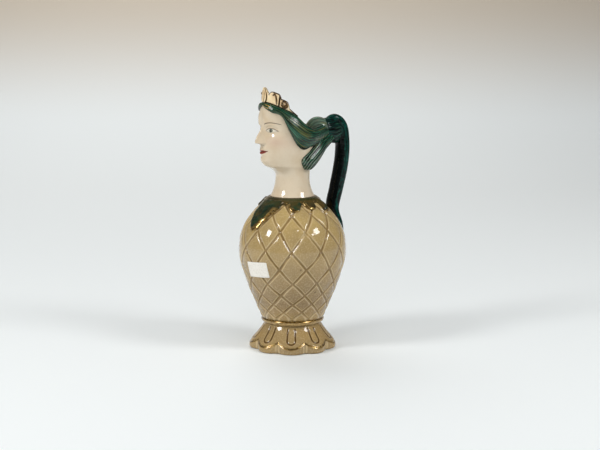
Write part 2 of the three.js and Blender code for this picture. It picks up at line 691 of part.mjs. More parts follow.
// Tiara: a crest that stands on the front of the rim. Its top runs from a point at the front over an
// arch and a volute on each side down to a low end.
function tiaraTop(degrees) {
  const out = Math.abs(degrees);
  const bump = (middle, spread, height) => height * Math.exp(-(((out - middle) / spread) ** 6));
  const point = TIARA_HEIGHT * Math.max(0, 1 - out / POINT_SPAN) ** 0.7;
  const arch = bump(ARCH_AZIMUTH, 1.55 * ARCH_HALF_SPAN, ARCH_HEIGHT);
  const voluteSpread = Math.atan2(VOLUTE_RADIUS + 3 * COIL_RADIUS, headOval(0, rimFront));
  const volute = bump(VOLUTE_AZIMUTH, radToDeg(voluteSpread), VOLUTE_HEIGHT);
  const run = smoothstep(TIARA_SPAN - out, 0, TIARA_SPAN - VOLUTE_AZIMUTH);
  return Math.max(point, arch, volute, lerp(TIARA_END_HEIGHT, TIARA_BAND, run));
}

function onTiara(azimuth, height, lift) {
  const foot = headOval(azimuth, rimHeight(azimuth)) - TIARA_SETBACK + lift;
  return polar(foot + TIARA_LEAN * height, azimuth, neckJoint + rimLevel(foot, azimuth) + JOINT + height);
}

function tiaraShape() {
  const sections = steps(-TIARA_SPAN, TIARA_SPAN, 46).map((degrees) => {
    const azimuth = degToRad(degrees);
    const levels = steps(0, tiaraTop(degrees), 2);
    const face = levels.map((height) => onTiara(azimuth, height, 0));
    const back = levels.map((height) => onTiara(azimuth, height, -TIARA_THICKNESS));
    return [...face, ...back.reverse()];
  });
  return loft(sections);
}

function palmetteShape() {
  const reach = headOval(0, rimFront);
  const place = (along, across, lift) => onTiara(across / reach, along, lift);
  const outline = (t) => (PALMETTE_WIDTH / 2) * (0.08 + 0.92 * Math.sin(Math.PI * (0.18 + 0.82 * t)) ** 0.9);
  return sprig(place, PALMETTE_HEIGHT, outline, PALMETTE_THICKNESS, 6, 4);
}

// A thin coil of clay on the tiara's face, along points given as [azimuth, height].
function tiaraCoil(route, turns) {
  const points = route.map(([degrees, height]) => onTiara(degToRad(degrees), height, JOINT + COIL_RADIUS));
  const section = new THREE.Shape().absarc(0, 0, COIL_RADIUS, 0, 2 * Math.PI);
  const extrudePath = new THREE.CatmullRomCurve3(points);
  return closedSkin(new THREE.ExtrudeGeometry(section, { steps: turns, extrudePath, curveSegments: 3 }));
}

function archShape(side) {
  const inset = 2 * COIL_RADIUS;
  const route = steps(0, Math.PI, 6).map((angle) => {
    const degrees = ARCH_AZIMUTH - ARCH_HALF_SPAN * Math.cos(angle);
    return [side * degrees, inset + (ARCH_HEIGHT - 2.4 * inset) * Math.sin(angle) ** 0.6];
  });
  return tiaraCoil(route, 10);
}

function voluteShape(side) {
  const perDegree = headOval(degToRad(VOLUTE_AZIMUTH), rimFront) * degToRad(1);
  const middle = VOLUTE_RADIUS + 2 * COIL_RADIUS;
  const spiral = steps(0, 1, 14).map((t) => {
    const angle = lerp(2.2, -0.85, t) * Math.PI;
    const radius = lerp(0.3, 1, t) * VOLUTE_RADIUS;
    const degrees = VOLUTE_AZIMUTH + (radius * Math.cos(angle)) / perDegree;
    return [side * degrees, middle + radius * Math.sin(angle)];
  });
  return tiaraCoil(spiral, 16);
}

// Glazes
const glaze = (color, roughness = 0.25, metalness = 0) =>
  new THREE.MeshStandardMaterial({ color, roughness, metalness });
const TAN = '#ad966d';
const CREAM = '#d6c7ad';
const GREEN = '#1d4a3c';
const OLIVE = '#46492c';
const LUSTRE = '#8a6a2c';

const jug = new THREE.Group();

function piece(name, geometry, material) {
  const mesh = new THREE.Mesh(geometry, material);
  mesh.name = name;
  jug.add(mesh);
}

piece('foot', footShape, glaze(TAN));
piece('foot_bead', beadShape(), glaze(LUSTRE, 0.3, 0.5));
piece('body', bodyShape(), glaze(TAN));
piece('collar', collarShape(), glaze(OLIVE));
const frontLeaf = leafShape(FRONT_LEAF_AZIMUTH, FRONT_LEAF_LENGTH, FRONT_LEAF_WIDTH, FRONT_LEAF_FULLNESS);
piece('leaf_front', frontLeaf, glaze(OLIVE));
const lobeLengths = [FIRST_LOBE_LENGTH, MIDDLE_LOBE_LENGTH, BACK_LOBE_LENGTH];
Object.entries(LOBE_AZIMUTHS).forEach(([label, azimuths]) => {
  azimuths.forEach((azimuth, i) => {
    const lobe = leafShape(azimuth, lobeLengths[i], LOBE_WIDTH, LOBE_FULLNESS);
    piece('leaf_' + label + '_' + (i + 1), lobe, glaze(OLIVE));
  });
});
piece('head', loft(headAzimuths.map(headSection), true), glaze(CREAM));

const skull = headCutter();
const sides = [
  ['left', 1],
  ['right', -1],
];
const hairCutters = sides.map(([, side]) => hairSide(side, JOINT));
const napeCutters = sides.map(([, side]) => napeLock(side, JOINT));
sides.forEach(([label, side]) => {
  piece('hair_' + label, hairSide(side, 0), glaze(GREEN));
  const nape = carve(napeLock(side, 0), [skull, ...hairCutters, otherSide(side)]);
  piece('nape_lock_' + label, nape, glaze(GREEN));
});
const pressedOn = [skull, ...hairCutters, ...napeCutters];
piece('chignon', carve(chignonBall(0), pressedOn), glaze(GREEN));
const handle = fuse(gatheredRoot(), tail());
piece('handle', carve(handle, [...pressedOn, chignonBall(JOINT), bodyCutter()]), glaze(GREEN));

piece('tiara', tiaraShape(), glaze(CREAM));
piece('tiara_palmette', palmetteShape(), glaze(CREAM));
sides.forEach(([label, side]) => {
  piece('tiara_arch_' + label, archShape(side), glaze(LUSTRE, 0.3, 0.5));
  piece('tiara_volute_' + label, voluteShape(side), glaze(LUSTRE, 0.3, 0.5));
});

export default jug;
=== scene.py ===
from bisect import bisect
from math import atan2, cos, exp, floor, hypot, pi, radians, sin, tan

import bmesh
import bpy
from mathutils import Matrix, Vector, noise
from mathutils.geometry import interpolate_bezier


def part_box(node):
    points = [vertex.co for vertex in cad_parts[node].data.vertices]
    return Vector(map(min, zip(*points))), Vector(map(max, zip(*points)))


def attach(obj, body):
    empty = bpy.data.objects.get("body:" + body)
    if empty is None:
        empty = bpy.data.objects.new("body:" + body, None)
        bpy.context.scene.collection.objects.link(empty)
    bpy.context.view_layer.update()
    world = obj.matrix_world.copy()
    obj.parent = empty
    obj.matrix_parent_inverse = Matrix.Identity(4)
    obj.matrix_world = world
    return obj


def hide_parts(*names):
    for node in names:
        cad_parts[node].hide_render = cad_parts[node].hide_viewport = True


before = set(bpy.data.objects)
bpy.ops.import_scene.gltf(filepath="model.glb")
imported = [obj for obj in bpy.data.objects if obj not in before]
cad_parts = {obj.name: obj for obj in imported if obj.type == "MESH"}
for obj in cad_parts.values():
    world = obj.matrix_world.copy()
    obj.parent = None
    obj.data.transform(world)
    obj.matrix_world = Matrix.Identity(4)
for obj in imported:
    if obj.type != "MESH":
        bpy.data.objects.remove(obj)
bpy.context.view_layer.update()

# Foot: a hollow flare of tan-glazed earthenware that ends in a ring of upright petals, cast in a
# mould. A tongue is incised over each petal, and gold lustre is brushed along the petals' edge.
# Sizes are in millimetres, azimuths run round the jug's axis from the face towards +X.
PETALS = 9
PETAL_AZIMUTH = radians(20)
PETAL_TIP_RADIUS = 43.0
PETAL_VALLEY_RADIUS = 38.5
PETAL_EDGE = 6.0
PETAL_SWELL = 0.6
PETAL_ROUND = 0.7
FLARE_HEIGHT = 26.0
FLARE_CURVE = 1.3
FOOT_NECK_RADIUS = 28.0
FOOT_HEIGHT = 1000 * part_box("foot")[1].z
FOOT_FLOOR = 5.0
WALL = 4.5
TONGUE_HALF_WIDTH = 4.1
TONGUE_HALF_TOP = 3.0
TONGUE_END = 5.2  # above the petal's edge, along the flare
INCISED_DEPTH = 0.6
INCISED_HALF_WIDTH = 1.5
GILT_HALF_WIDTH = 1.8
UNDERSIDE, PETAL_WALL, FLARE, FOOT_NECK, SEAT = 0.04, 0.2, 0.74, 0.8, 0.83  # shares of the outline
# Lighter towards the shoulder and darker low on the belly where it turns under: painted light and painted
# shade. The glaze is also warmer towards the shoulder.
TAN_LIGHT_AND_SHADE_BY_HEIGHT = {  # by metres over the floor
    0.0: "#aa8c58",
    0.034: "#aa8c58",
    0.05: "#937953",
    0.09: "#aa9063",
    0.12: "#b59a64",
    0.15: "#c9ac6a",
}
TAN_THIN = "#d2ba8e"
TAN_POOLED = "#8f7448"
TAN_DEEP = "#5b421f"
TAN_CLOUD = "#95805c"
IRON_SPECK = "#4a3420"
LUSTRE = "#c9a866"
LUSTRE_WORN = "#7d5a22"
GLAZE_ROUGHNESS = (0.22, 0.34)
COAT_ROUGHNESS = 0.035


def mix(first, second, share):
    return first + (second - first) * share


def way(start, end, value):
    """How far a value has come from start to end."""
    return (value - start) / (end - start)


def ease(low, high, value):
    """0 up to low, 1 from high, smooth between."""
    share = min(max(way(low, high, value), 0.0), 1.0)
    return share * share * (3 - 2 * share)


def stroke(distance, half_width):
    """1 on a drawn line, falling to 0 at its edge."""
    return max(0.0, 1 - (distance / half_width) ** 2) ** 2


def polar(radius, azimuth, z):
    return Vector((radius * sin(azimuth), -radius * cos(azimuth), z))


def skin(columns, rows, place, marks=(), close=False):
    """A grid bent into a piece: place(around, along) gives each point and its marks, both from 0 to 1.

    Points that meet are merged. Open ends are closed if asked. Each mark is a share kept for the glaze.
    """
    bm = bmesh.new()
    bmesh.ops.create_grid(bm, x_segments=columns, y_segments=rows, size=0.5)
    flow = bm.loops.layers.uv.new("flow")
    for face in bm.faces:
        for loop in face.loops:
            loop[flow].uv = loop.vert.co.xy + Vector((0.5, 0.5))
    layers = [bm.verts.layers.float.new(mark) for mark in marks]
    for vert in bm.verts:
        vert.co, *shares = place(vert.co.x + 0.5, vert.co.y + 0.5)
        for layer, share in zip(layers, shares):
            vert[layer] = share
    bmesh.ops.remove_doubles(bm, verts=bm.verts, dist=0.002)
    if close:
        bmesh.ops.holes_fill(bm, edges=[edge for edge in bm.edges if edge.is_boundary])
    bmesh.ops.recalc_face_normals(bm, faces=bm.faces)
    return bm


def piece(name, bm, glaze):
    """The finished mesh as an object, in metres, with its glaze."""
    bmesh.ops.scale(bm, vec=Vector((0.001, 0.001, 0.001)), verts=bm.verts)
    mesh = bpy.data.meshes.new(name)
    bm.to_mesh(mesh)
    bm.free()
    mesh.shade_smooth()
    mesh.materials.append(glaze)
    made = bpy.data.objects.new(name, mesh)
    bpy.context.collection.objects.link(made)
    return made


def colour(code):
    """A six-figure colour code as the shader takes it."""
    parts = [int(code[i : i + 2], 16) / 255 for i in (1, 3, 5)]
    return [*((part / 12.92 if part < 0.04 else ((part + 0.055) / 1.055) ** 2.4) for part in parts), 1.0]


def node(tree, kind, inputs, **settings):
    """A node of the material: each input is a value, a colour code or another node's output."""
    made = tree.nodes.new("ShaderNode" + kind)
    for name, value in settings.items():
        setattr(made, name, value)
    for socket, value in inputs.items():
        if isinstance(value, bpy.types.NodeSocket):
            tree.links.new(value, made.inputs[socket])
        else:
            made.inputs[socket].default_value = colour(value) if isinstance(value, str) else value
    return made


def laid_over(tree, base, *coats):
    """A colour with others brushed over it in turn, each with its share."""
    for share, over in coats:
        base = node(tree, "Mix", {0: share, 6: base, 7: over}, data_type="RGBA").outputs[2]
    return base


def mark(tree, name):
    return node(tree, "Attribute", {}, attribute_name=name).outputs["Fac"]


def cloud(tree, scale, low, high, detail=2.0, stretch=None):
    """Cloudy shares from 0 to 1. A stretch draws them out along the piece's own flow."""
    if stretch:
        spot = node(tree, "UVMap", {}, uv_map="flow").outputs["UV"]
        spot = node(tree, "Mapping", {"Vector": spot, "Scale": stretch}).outputs["Vector"]
    else:
        spot = node(tree, "TexCoord", {}).outputs["Object"]
    puffs = node(tree, "TexNoise", {"Vector": spot, "Scale": scale, "Detail": detail}).outputs["Fac"]
    return from_to(tree, puffs, low, high)


def times(tree, share, factor):
    return node(tree, "Math", {0: share, 1: factor}, operation="MULTIPLY").outputs["Value"]


def from_to(tree, value, low, high):
    """0 at low and 1 at high, smooth between; low may lie over high."""
    span = {"Value": value, "From Min": low, "From Max": high}
    return node(tree, "MapRange", span, interpolation_type="SMOOTHSTEP").outputs["Result"]


def finish(name):
    """A new material, with its nodes and its shader."""
    made = bpy.data.materials.new(name)
    made.use_nodes = True
    return made, made.node_tree, made.node_tree.nodes["Principled BSDF"]


def glazed(name, tint, gilded=True, ripple=0.12, coat=1.0):
    """A glossy glaze over earthenware. Gold lustre lies where the piece is marked gilt."""
    made, tree, shader = finish(name)
    base = tint(tree)
    if gilded:
        gold = mark(tree, "gilt")
        worn = laid_over(tree, LUSTRE, (cloud(tree, 420, 0.35, 0.65), LUSTRE_WORN))
        base = laid_over(tree, base, (gold, worn))
        tree.links.new(gold, shader.inputs["Metallic"])
    tree.links.new(base, shader.inputs["Base Color"])
    rough = cloud(tree, 160, 0.3, 0.7)
    spread = {"Value": rough, "To Min": GLAZE_ROUGHNESS[0], "To Max": GLAZE_ROUGHNESS[1]}
    tree.links.new(node(tree, "MapRange", spread).outputs["Result"], shader.inputs["Roughness"])
    shader.inputs["Specular IOR Level"].default_value = 0.05
    shader.inputs["Coat Weight"].default_value = coat
    shader.inputs["Coat Roughness"].default_value = COAT_ROUGHNESS
    spot = node(tree, "TexCoord", {}).outputs["Object"]
    swells = node(tree, "TexNoise", {"Vector": spot, "Scale": 85.0, "Detail": 1.0}).outputs["Fac"]
    bump = node(tree, "Bump", {"Height": swells, "Strength": ripple, "Distance": 0.002}).outputs["Normal"]
    tree.links.new(bump, shader.inputs["Normal"])
    tree.links.new(bump, shader.inputs["Coat Normal"])
    return made


def by_height(tree, stops):
    """A colour that shifts with the height over the floor."""
    spot = node(tree, "TexCoord", {}).outputs["Object"]
    height = node(tree, "SeparateXYZ", {"Vector": spot}).outputs["Z"]
    top = max(stops)
    ramp = node(tree, "ValToRGB", {"Fac": times(tree, height, 1 / top)})
    elements = ramp.color_ramp.elements
    while len(elements) < len(stops):
        elements.new(1)
    for element, (level, code) in zip(elements, stops.items()):
        element.position = level / top
        element.color = colour(code)
    return ramp.outputs["Color"]


def tan_tint(tree):
    """Tan glaze: cloudy, with painted light and shade by height, thin and with a painted highlight on the
    lips beside the lines, dark where it pools, with a few iron specks.
    """
    pool = mark(tree, "pool")
    # lighter bands on the lips beside the incised lines: thinner glaze and a painted highlight
    lip_thin_and_highlight = times(tree, from_to(tree, pool, 0.02, 0.12), from_to(tree, pool, 0.45, 0.2))
    return laid_over(
        tree,
        # by height: painted light on the shoulder, painted shade low on the belly
        by_height(tree, TAN_LIGHT_AND_SHADE_BY_HEIGHT),
        (times(tree, cloud(tree, 38, 0.35, 0.75, 3.0), 0.6), TAN_CLOUD),
        (times(tree, cloud(tree, 700, 0.45, 0.7), 0.35), TAN_THIN),
        (cloud(tree, 260, 0.74, 0.78), IRON_SPECK),
        (times(tree, lip_thin_and_highlight, 0.7), TAN_THIN),
        (from_to(tree, pool, 0.2, 1.05), TAN_POOLED),
        (from_to(tree, pool, 1.1, 1.8), TAN_DEEP),
    )


def petal_radius(azimuth):
    swing = abs(cos(PETALS / 2 * (azimuth - PETAL_AZIMUTH)))
    return mix(PETAL_VALLEY_RADIUS, PETAL_TIP_RADIUS, swing)


def flare_radius(z):
    fall = max(0.0, way(FLARE_HEIGHT, PETAL_EDGE, z))
    return mix(FOOT_NECK_RADIUS, PETAL_TIP_RADIUS, fall**FLARE_CURVE)


def flare_height(radius):
    spread = way(FOOT_NECK_RADIUS, PETAL_TIP_RADIUS, radius)
    return mix(FLARE_HEIGHT, PETAL_EDGE, spread ** (1 / FLARE_CURVE))


def tongue(azimuth, radius, z):
    """How deep the incised tongue runs here: a loop open at the top, with its round end downwards."""
    pitch = 2 * pi / PETALS
    aside = abs((azimuth - PETAL_AZIMUTH + pitch / 2) % pitch - pitch / 2) * radius
    up = hypot(PETAL_TIP_RADIUS - radius, z - PETAL_EDGE) - TONGUE_END - TONGUE_HALF_WIDTH
    reach = hypot(PETAL_TIP_RADIUS - FOOT_NECK_RADIUS, FLARE_HEIGHT - PETAL_EDGE)
    half = mix(TONGUE_HALF_WIDTH, TONGUE_HALF_TOP, max(0.0, up) / reach)
    distance = hypot(aside, min(0.0, up)) - half
    return stroke(distance, INCISED_HALF_WIDTH) * (1 - ease(FLARE_HEIGHT - 4, FLARE_HEIGHT - 1, z))


def foot_spot(around, along):
    azimuth = 2 * pi * around
    edge = petal_radius(azimuth)
    crest = flare_height(edge)
    pool = gilt = 0.0
    if along < UNDERSIDE:
        radius, z = mix(0, edge - PETAL_ROUND, along / UNDERSIDE), 0.0
    elif along < PETAL_WALL:
        up = way(UNDERSIDE, PETAL_WALL, along)
        radius = edge - PETAL_ROUND + (PETAL_ROUND + PETAL_SWELL) * (1 - abs(2 * up - 1) ** 4)
        z = up * crest
        gilt = stroke(crest - z, GILT_HALF_WIDTH)
        # darker glaze in the valleys between the petals: painted shade
        pool = 0.35 * (1 - ease(0.0, 0.35, way(PETAL_VALLEY_RADIUS, PETAL_TIP_RADIUS, edge)))
    elif along < FLARE:
        up = way(PETAL_WALL, FLARE, along)
        z = mix(crest, FLARE_HEIGHT, up)
        radius = flare_radius(z)
        carved = tongue(azimuth, radius, z)
        gilt = stroke(hypot(edge - radius, z - crest), 1.2 * GILT_HALF_WIDTH)
        radius -= PETAL_ROUND * max(0.0, 1 - up / 0.05) ** 2 + 0.8 * INCISED_DEPTH * carved
        z -= 0.6 * INCISED_DEPTH * carved
        pool = 2.4 * carved
    elif along < FOOT_NECK:
        radius = FOOT_NECK_RADIUS
        z = mix(FLARE_HEIGHT, FOOT_HEIGHT, way(FLARE, FOOT_NECK, along))
    elif along < SEAT:
        radius = mix(FOOT_NECK_RADIUS, FOOT_NECK_RADIUS - WALL, way(FOOT_NECK, SEAT, along))
        z = FOOT_HEIGHT
    else:
        down = way(SEAT, 1, along)
        z = mix(FOOT_HEIGHT, FOOT_FLOOR, min(1.0, down / 0.8))
        radius = min(flare_radius(z + WALL) - WALL, PETAL_VALLEY_RADIUS - WALL)
        radius *= 1 - max(0.0, down - 0.8) / 0.2
    return polar(radius, azimuth, z), pool, gilt


tan_glaze = glazed("tan_glaze", tan_tint)
foot = piece("petalled_foot", skin(540, 110, foot_spot, ("pool", "gilt")), tan_glaze)
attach(foot, "root")
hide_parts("foot")

# Bead: a coil of clay pressed round the foot's neck under the belly, glazed like them, with a line
# of gold lustre along its upper edge and a thin wash of it below. Its lowest edge is darkened:
# a painted shadow line under the coil.
BEAD_RADIUS = 31.5
BEAD_BOTTOM, BEAD_TOP = (1000 * corner.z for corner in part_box("foot_bead"))
BEAD_OUTSIDE = 0.75  # share of the section that shows
GOLD_WASH = 0.35


def bead_spot(around, along):
    azimuth = 2 * pi * along
    middle, half = (BEAD_BOTTOM + BEAD_TOP) / 2, (BEAD_TOP - BEAD_BOTTOM) / 2
    if around < BEAD_OUTSIDE:
        angle = mix(-pi / 2, pi / 2, around / BEAD_OUTSIDE)
        radius = mix(FOOT_NECK_RADIUS, BEAD_RADIUS, 0.35 + 0.65 * cos(angle))
        z = middle + half * sin(angle)
    else:
        back = way(BEAD_OUTSIDE, 1, around)
        radius = mix(FOOT_NECK_RADIUS, BEAD_RADIUS, 0.35) - 1.5 * sin(pi * back)
        z = mix(BEAD_TOP, BEAD_BOTTOM, back)
    # dark along the bead's lowest millimetre: a painted shadow line
    pool = 0.6 * (1 - ease(BEAD_BOTTOM, BEAD_BOTTOM + 1, z))
    gilt = max(GOLD_WASH, ease(BEAD_TOP - 1.8, BEAD_TOP - 1.2, z))
    return polar(radius, azimuth, z), pool, gilt


bead = piece("foot_coil", skin(40, 240, bead_spot, ("pool", "gilt")), tan_glaze)
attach(bead, "root")
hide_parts("foot_bead")

# Body: a hollow cast belly under tan glaze. Two families of lines are incised by hand over the whole
# belly, so the diamonds between them stand out like cushions and the glaze pools dark in the lines.
BODY_BOTTOM, BODY_TOP = (1000 * corner.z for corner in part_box("body"))
BODY_RADIUS = 53.7
BODY_BOTTOM_RADIUS = 31.6
BODY_WIDEST = BODY_BOTTOM + 68.5
NECK_BASE_RADIUS = 22.4
LATTICE_LINES = 12
LATTICE_ROWS = 9
LATTICE_STEEPENING = 2.1
LATTICE_AZIMUTH = radians(2)
LATTICE_BORDER = 2.0
COLLAR_DROP = 6.0
GROOVE_DEPTH = 1.05
GROOVE_HALF_WIDTH = 1.2
CUSHION = 0.5
HAND_SWAY = radians(2.6)
HAND_LIFT = 0.13
CRAWL_AZIMUTH, CRAWL_ROW = radians(73), 6.9  # a patch where the glaze has crawled, along a line
CRAWL_HALF_LENGTH, CRAWL_HALF_WIDTH, CRAWL_DEPTH = 12.0, 6.0, 2.4
CELL_STEPS = 20
CROWDING = 0.75
INSIDE_RINGS = 14


def body_curve():
    """The belly's outline as (distance down from the top edge, radius, height, slope) rows."""
    low = [
        (BODY_BOTTOM_RADIUS, BODY_BOTTOM),
        (mix(BODY_BOTTOM_RADIUS, BODY_RADIUS, 0.45), mix(BODY_BOTTOM, BODY_WIDEST, 0.345)),
        (BODY_RADIUS, mix(BODY_BOTTOM, BODY_WIDEST, 0.72)),
        (BODY_RADIUS, BODY_WIDEST),
    ]
    high = [
        (BODY_RADIUS, BODY_WIDEST),
        (BODY_RADIUS, mix(BODY_WIDEST, BODY_TOP, 0.42)),
        (mix(NECK_BASE_RADIUS, BODY_RADIUS, 0.6), mix(BODY_WIDEST, BODY_TOP, 0.76)),
        (NECK_BASE_RADIUS, BODY_TOP),
    ]
    spots = [spot for knots in (low, high) for spot in interpolate_bezier(*map(Vector, knots), 160)]
    rows = [(0.0, *spots[-1], 0.0)]
    for upper, lower in zip(reversed(spots), reversed(spots[:-1])):
        step = (upper - lower).length
        if step > 0:
            rows.append((rows[-1][0] + step, *lower, atan2(lower.x - upper.x, upper.y - lower.y)))
    rows[0] = (*rows[0][:3], rows[1][3])
    return rows


body_rows = body_curve()
body_drops = [row[0] for row in body_rows]
body_length = body_drops[-1]


def body_outline(drop, lift):
    """Radius and height at a distance down from the top edge, lifted off the surface."""
    drop = min(max(drop, 0.0), body_length)
    after = min(max(bisect(body_drops, drop), 1), len(body_rows) - 1)
    first, second = body_rows[after - 1], body_rows[after]
    share = way(first[0], second[0], drop)
    _, radius, z, slope = (mix(a, b, share) for a, b in zip(first, second))
    return radius + lift * cos(slope), z + lift * sin(slope)


def on_body(drop, azimuth, lift):
    radius, z = body_outline(drop, lift)
    return polar(radius, azimuth, z)


def lattice_turns():
    """How far the lines have turned at each step up the belly; they climb steeper near the top."""
    steps = 400
    span = body_length - LATTICE_BORDER - COLLAR_DROP
    turns = [0.0]
    for i in range(steps):
        radius, _ = body_outline(body_length - LATTICE_BORDER - span * (i + 0.5) / steps, 0)
        turns.append(turns[-1] + span / steps / (radius * mix(1, LATTICE_STEEPENING, i / steps)))
    return turns


turns = lattice_turns()


def row_drop(row):
    """Distance down from the top edge of a row of crossings."""
    turned = row / LATTICE_ROWS * turns[-1]
    after = min(max(bisect(turns, turned), 1), len(turns) - 1)
    share = after - 1 + (turned - turns[after - 1]) / (turns[after] - turns[after - 1])
    span = body_length - LATTICE_BORDER - COLLAR_DROP
    return body_length - LATTICE_BORDER - span * share / (len(turns) - 1)


def lattice_spot(right, left):
    """A point by its place among the lines that climb to the right and those that climb to the left."""
    row = right + left
    cell = 2 * pi / LATTICE_LINES
    azimuth = LATTICE_AZIMUTH + (right - left) * cell / 2
    drop = row_drop(row)
    radius, _ = body_outline(drop, 0)
    high = abs(row_drop(min(row + 0.5, LATTICE_ROWS)) - row_drop(max(row - 0.5, 0)))
    wide = radius * cell / 2
    spacing = 2 * wide * high / hypot(wide, high)
    away = [abs(line - round(line)) for line in (right, left)]
    groove = max(exp(-((spacing * apart / GROOVE_HALF_WIDTH) ** 2)) for apart in away)
    dome = 1 - (1 - 2 * min(away)) ** 2
    hand = Vector((1.6 * sin(azimuth), 1.6 * cos(azimuth), 0.7 * row))
    inside = sin(pi * row / LATTICE_ROWS)
    azimuth += HAND_SWAY * noise.noise(hand)
    drop += HAND_LIFT * high * inside * noise.noise(hand + Vector((7, 3, 5)))
    aside, up = radius * (azimuth - CRAWL_AZIMUTH), high * (row - CRAWL_ROW)
    crawl = exp(-(((aside - up) / CRAWL_HALF_LENGTH) ** 2 + ((aside + up) / CRAWL_HALF_WIDTH) ** 2) / 2)
    pressed = mix(0.75, 1.15, 0.5 + noise.noise(2.5 * hand))
    groove *= mix(0.5, 1, ease(0, 2.2, row)) * pressed * (1 - 0.7 * crawl)
    depth = GROOVE_DEPTH * groove + CUSHION * (1 - dome)
    depth += CRAWL_DEPTH * crawl * noise.noise(0.27 * on_body(drop, azimuth, 0))
    return on_body(drop, azimuth, -depth), groove


def crowded(place):
    """Moves evenly spaced places towards the incised lines, so that the mesh is finest there."""
    line = floor(place)
    return place - CROWDING * sin(2 * pi * (place - line)) / (2 * pi)


def drawn_on(bm, edges, drop, lift):
    """Extends a ring of edges to another level of the belly."""
    made = bmesh.ops.extrude_edge_only(bm, edges=edges)["geom"]
    for vert in made:
        if isinstance(vert, bmesh.types.BMVert):
            vert.co = on_body(drop, atan2(vert.co.x, -vert.co.y), lift)
    return [edge for edge in made if isinstance(edge, bmesh.types.BMEdge)]


bm = bmesh.new()
left_span = LATTICE_LINES + LATTICE_ROWS
bmesh.ops.create_grid(bm, x_segments=LATTICE_LINES * CELL_STEPS, y_segments=left_span * CELL_STEPS, size=0.5)
for vert in bm.verts:
    vert.co.x = crowded(round(LATTICE_LINES * CELL_STEPS * (vert.co.x + 0.5)) / CELL_STEPS)
    vert.co.y = crowded(round(left_span * CELL_STEPS * (vert.co.y + 0.5)) / CELL_STEPS - LATTICE_LINES)
for row, outwards in ((0, -1), (LATTICE_ROWS, 1)):
    everything = [*bm.verts, *bm.edges, *bm.faces]
    beyond = (outwards, outwards, 0)
    bmesh.ops.bisect_plane(
        bm, geom=everything, dist=1e-4, plane_co=(row, 0, 0), plane_no=beyond, clear_outer=True
    )
pool = bm.verts.layers.float.new("pool")
for vert in bm.verts:
    vert.co, vert[pool] = lattice_spot(vert.co.x, vert.co.y)
bmesh.ops.remove_doubles(bm, verts=bm.verts, dist=0.01)
bmesh.ops.recalc_face_normals(bm, faces=bm.faces)
borders = [edge for edge in bm.edges if edge.is_boundary]
lower = [edge for edge in borders if edge.verts[0].co.z < BODY_WIDEST]
upper = [edge for edge in borders if edge.verts[0].co.z > BODY_WIDEST]
lower = drawn_on(bm, lower, body_length, 0)
upper = drawn_on(bm, upper, 0, 0)
for ring in range(INSIDE_RINGS + 1):
    upper = drawn_on(bm, upper, body_length * ring / INSIDE_RINGS, -WALL)
bmesh.ops.bridge_loops(bm, edges=lower + upper)
bmesh.ops.recalc_face_normals(bm, faces=bm.faces)
body = piece("latticed_belly", bm, tan_glaze)
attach(body, "root")
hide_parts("body")

# Label: a small blank sticker of white paper on the belly, at the figure's left front. It is
# stuck on flat, so it bends with the belly and bridges the incised lines.
LABEL_AZIMUTH = radians(20.3)
LABEL_HEIGHT = 84.4
LABEL_SIZE = (26.0, 15.6)
LABEL_TILT = radians(4)
LABEL_THICKNESS = 0.15
LABEL_CORNER = 1.4
LABEL_LIFT = 0.12
LABEL_WHITE = "#faf5ec"
LABEL_FIBRE = "#ece7dc"


def paper_finish():
    made, tree, shader = finish("label_paper")
    base = laid_over(tree, LABEL_WHITE, (cloud(tree, 900, 0.4, 0.7, 3.0), LABEL_FIBRE))
    tree.links.new(base, shader.inputs["Base Color"])
    shader.inputs["Roughness"].default_value = 0.6
    return made


bm = bmesh.new()
bmesh.ops.create_grid(bm, x_segments=26, y_segments=16, size=0.5)
bmesh.ops.scale(bm, vec=(*LABEL_SIZE, 1), verts=bm.verts)
corners = [vert for vert in bm.verts if len(vert.link_faces) == 1]
bmesh.ops.bevel(
    bm, geom=corners, offset=LABEL_CORNER, affect="VERTICES", segments=3, profile=0.5, material=-1
)
bmesh.ops.rotate(bm, cent=(0, 0, 0), matrix=Matrix.Rotation(LABEL_TILT, 3, "Z"), verts=bm.verts)
sheet = bmesh.ops.extrude_face_region(bm, geom=bm.faces[:])["geom"]
bmesh.ops.translate(
    bm, vec=(0, 0, LABEL_THICKNESS), verts=[part for part in sheet if isinstance(part, bmesh.types.BMVert)]
)
label_drop = min(body_rows, key=lambda row: abs(row[2] - LABEL_HEIGHT))[0]
for vert in bm.verts:
    drop, lift = label_drop - vert.co.y, LABEL_LIFT - CUSHION / 2 + vert.co.z
    radius, _ = body_outline(drop, 0)
    vert.co = on_body(drop, LABEL_AZIMUTH + vert.co.x / radius, lift)
bmesh.ops.recalc_face_normals(bm, faces=bm.faces)
label = piece("paper_label", bm, paper_finish())
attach(label, "root")

# Head: neck, face and skull are one hollow casting under cream glaze, open at the crown where the
# jug pours. The face is a calm plain one, with brows, eyes and lips painted on under the glaze.
NECK_JOINT = 1000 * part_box("head")[0].z
NECK_RADIUS = 17.2
CHIN = 33.0
FACE_HEIGHT = 60.0
THIRD = FACE_HEIGHT / 3
HALF_BREADTH = 24.0
FACE_DEPTH = 33.6
BACK_DEPTH = 24.0
NOSE_RISE = 7.5
RIM_FRONT = CHIN + FACE_HEIGHT + 1.0
RIM_TILT = radians(27)
RIM_DIP = 4.0
RIM_ROUND = 0.9
EYE_ACROSS, EYE_UP = 0.57, 1.7
EYE_HALF_WIDTH, UPPER_LID, LOWER_LID = 0.27, 0.12, 0.075
IRIS_RADIUS, PUPIL_RADIUS = 0.088, 0.04
BROW_UP, BROW_ARCH, BROW_HALF_LENGTH = 2.0, 0.1, 0.37
MOUTH_UP, MOUTH_HALF_WIDTH = 0.665, 0.4
UPPER_LIP, LOWER_LIP = 0.095, 0.12
LINE = 0.024  # half-width of a painted line
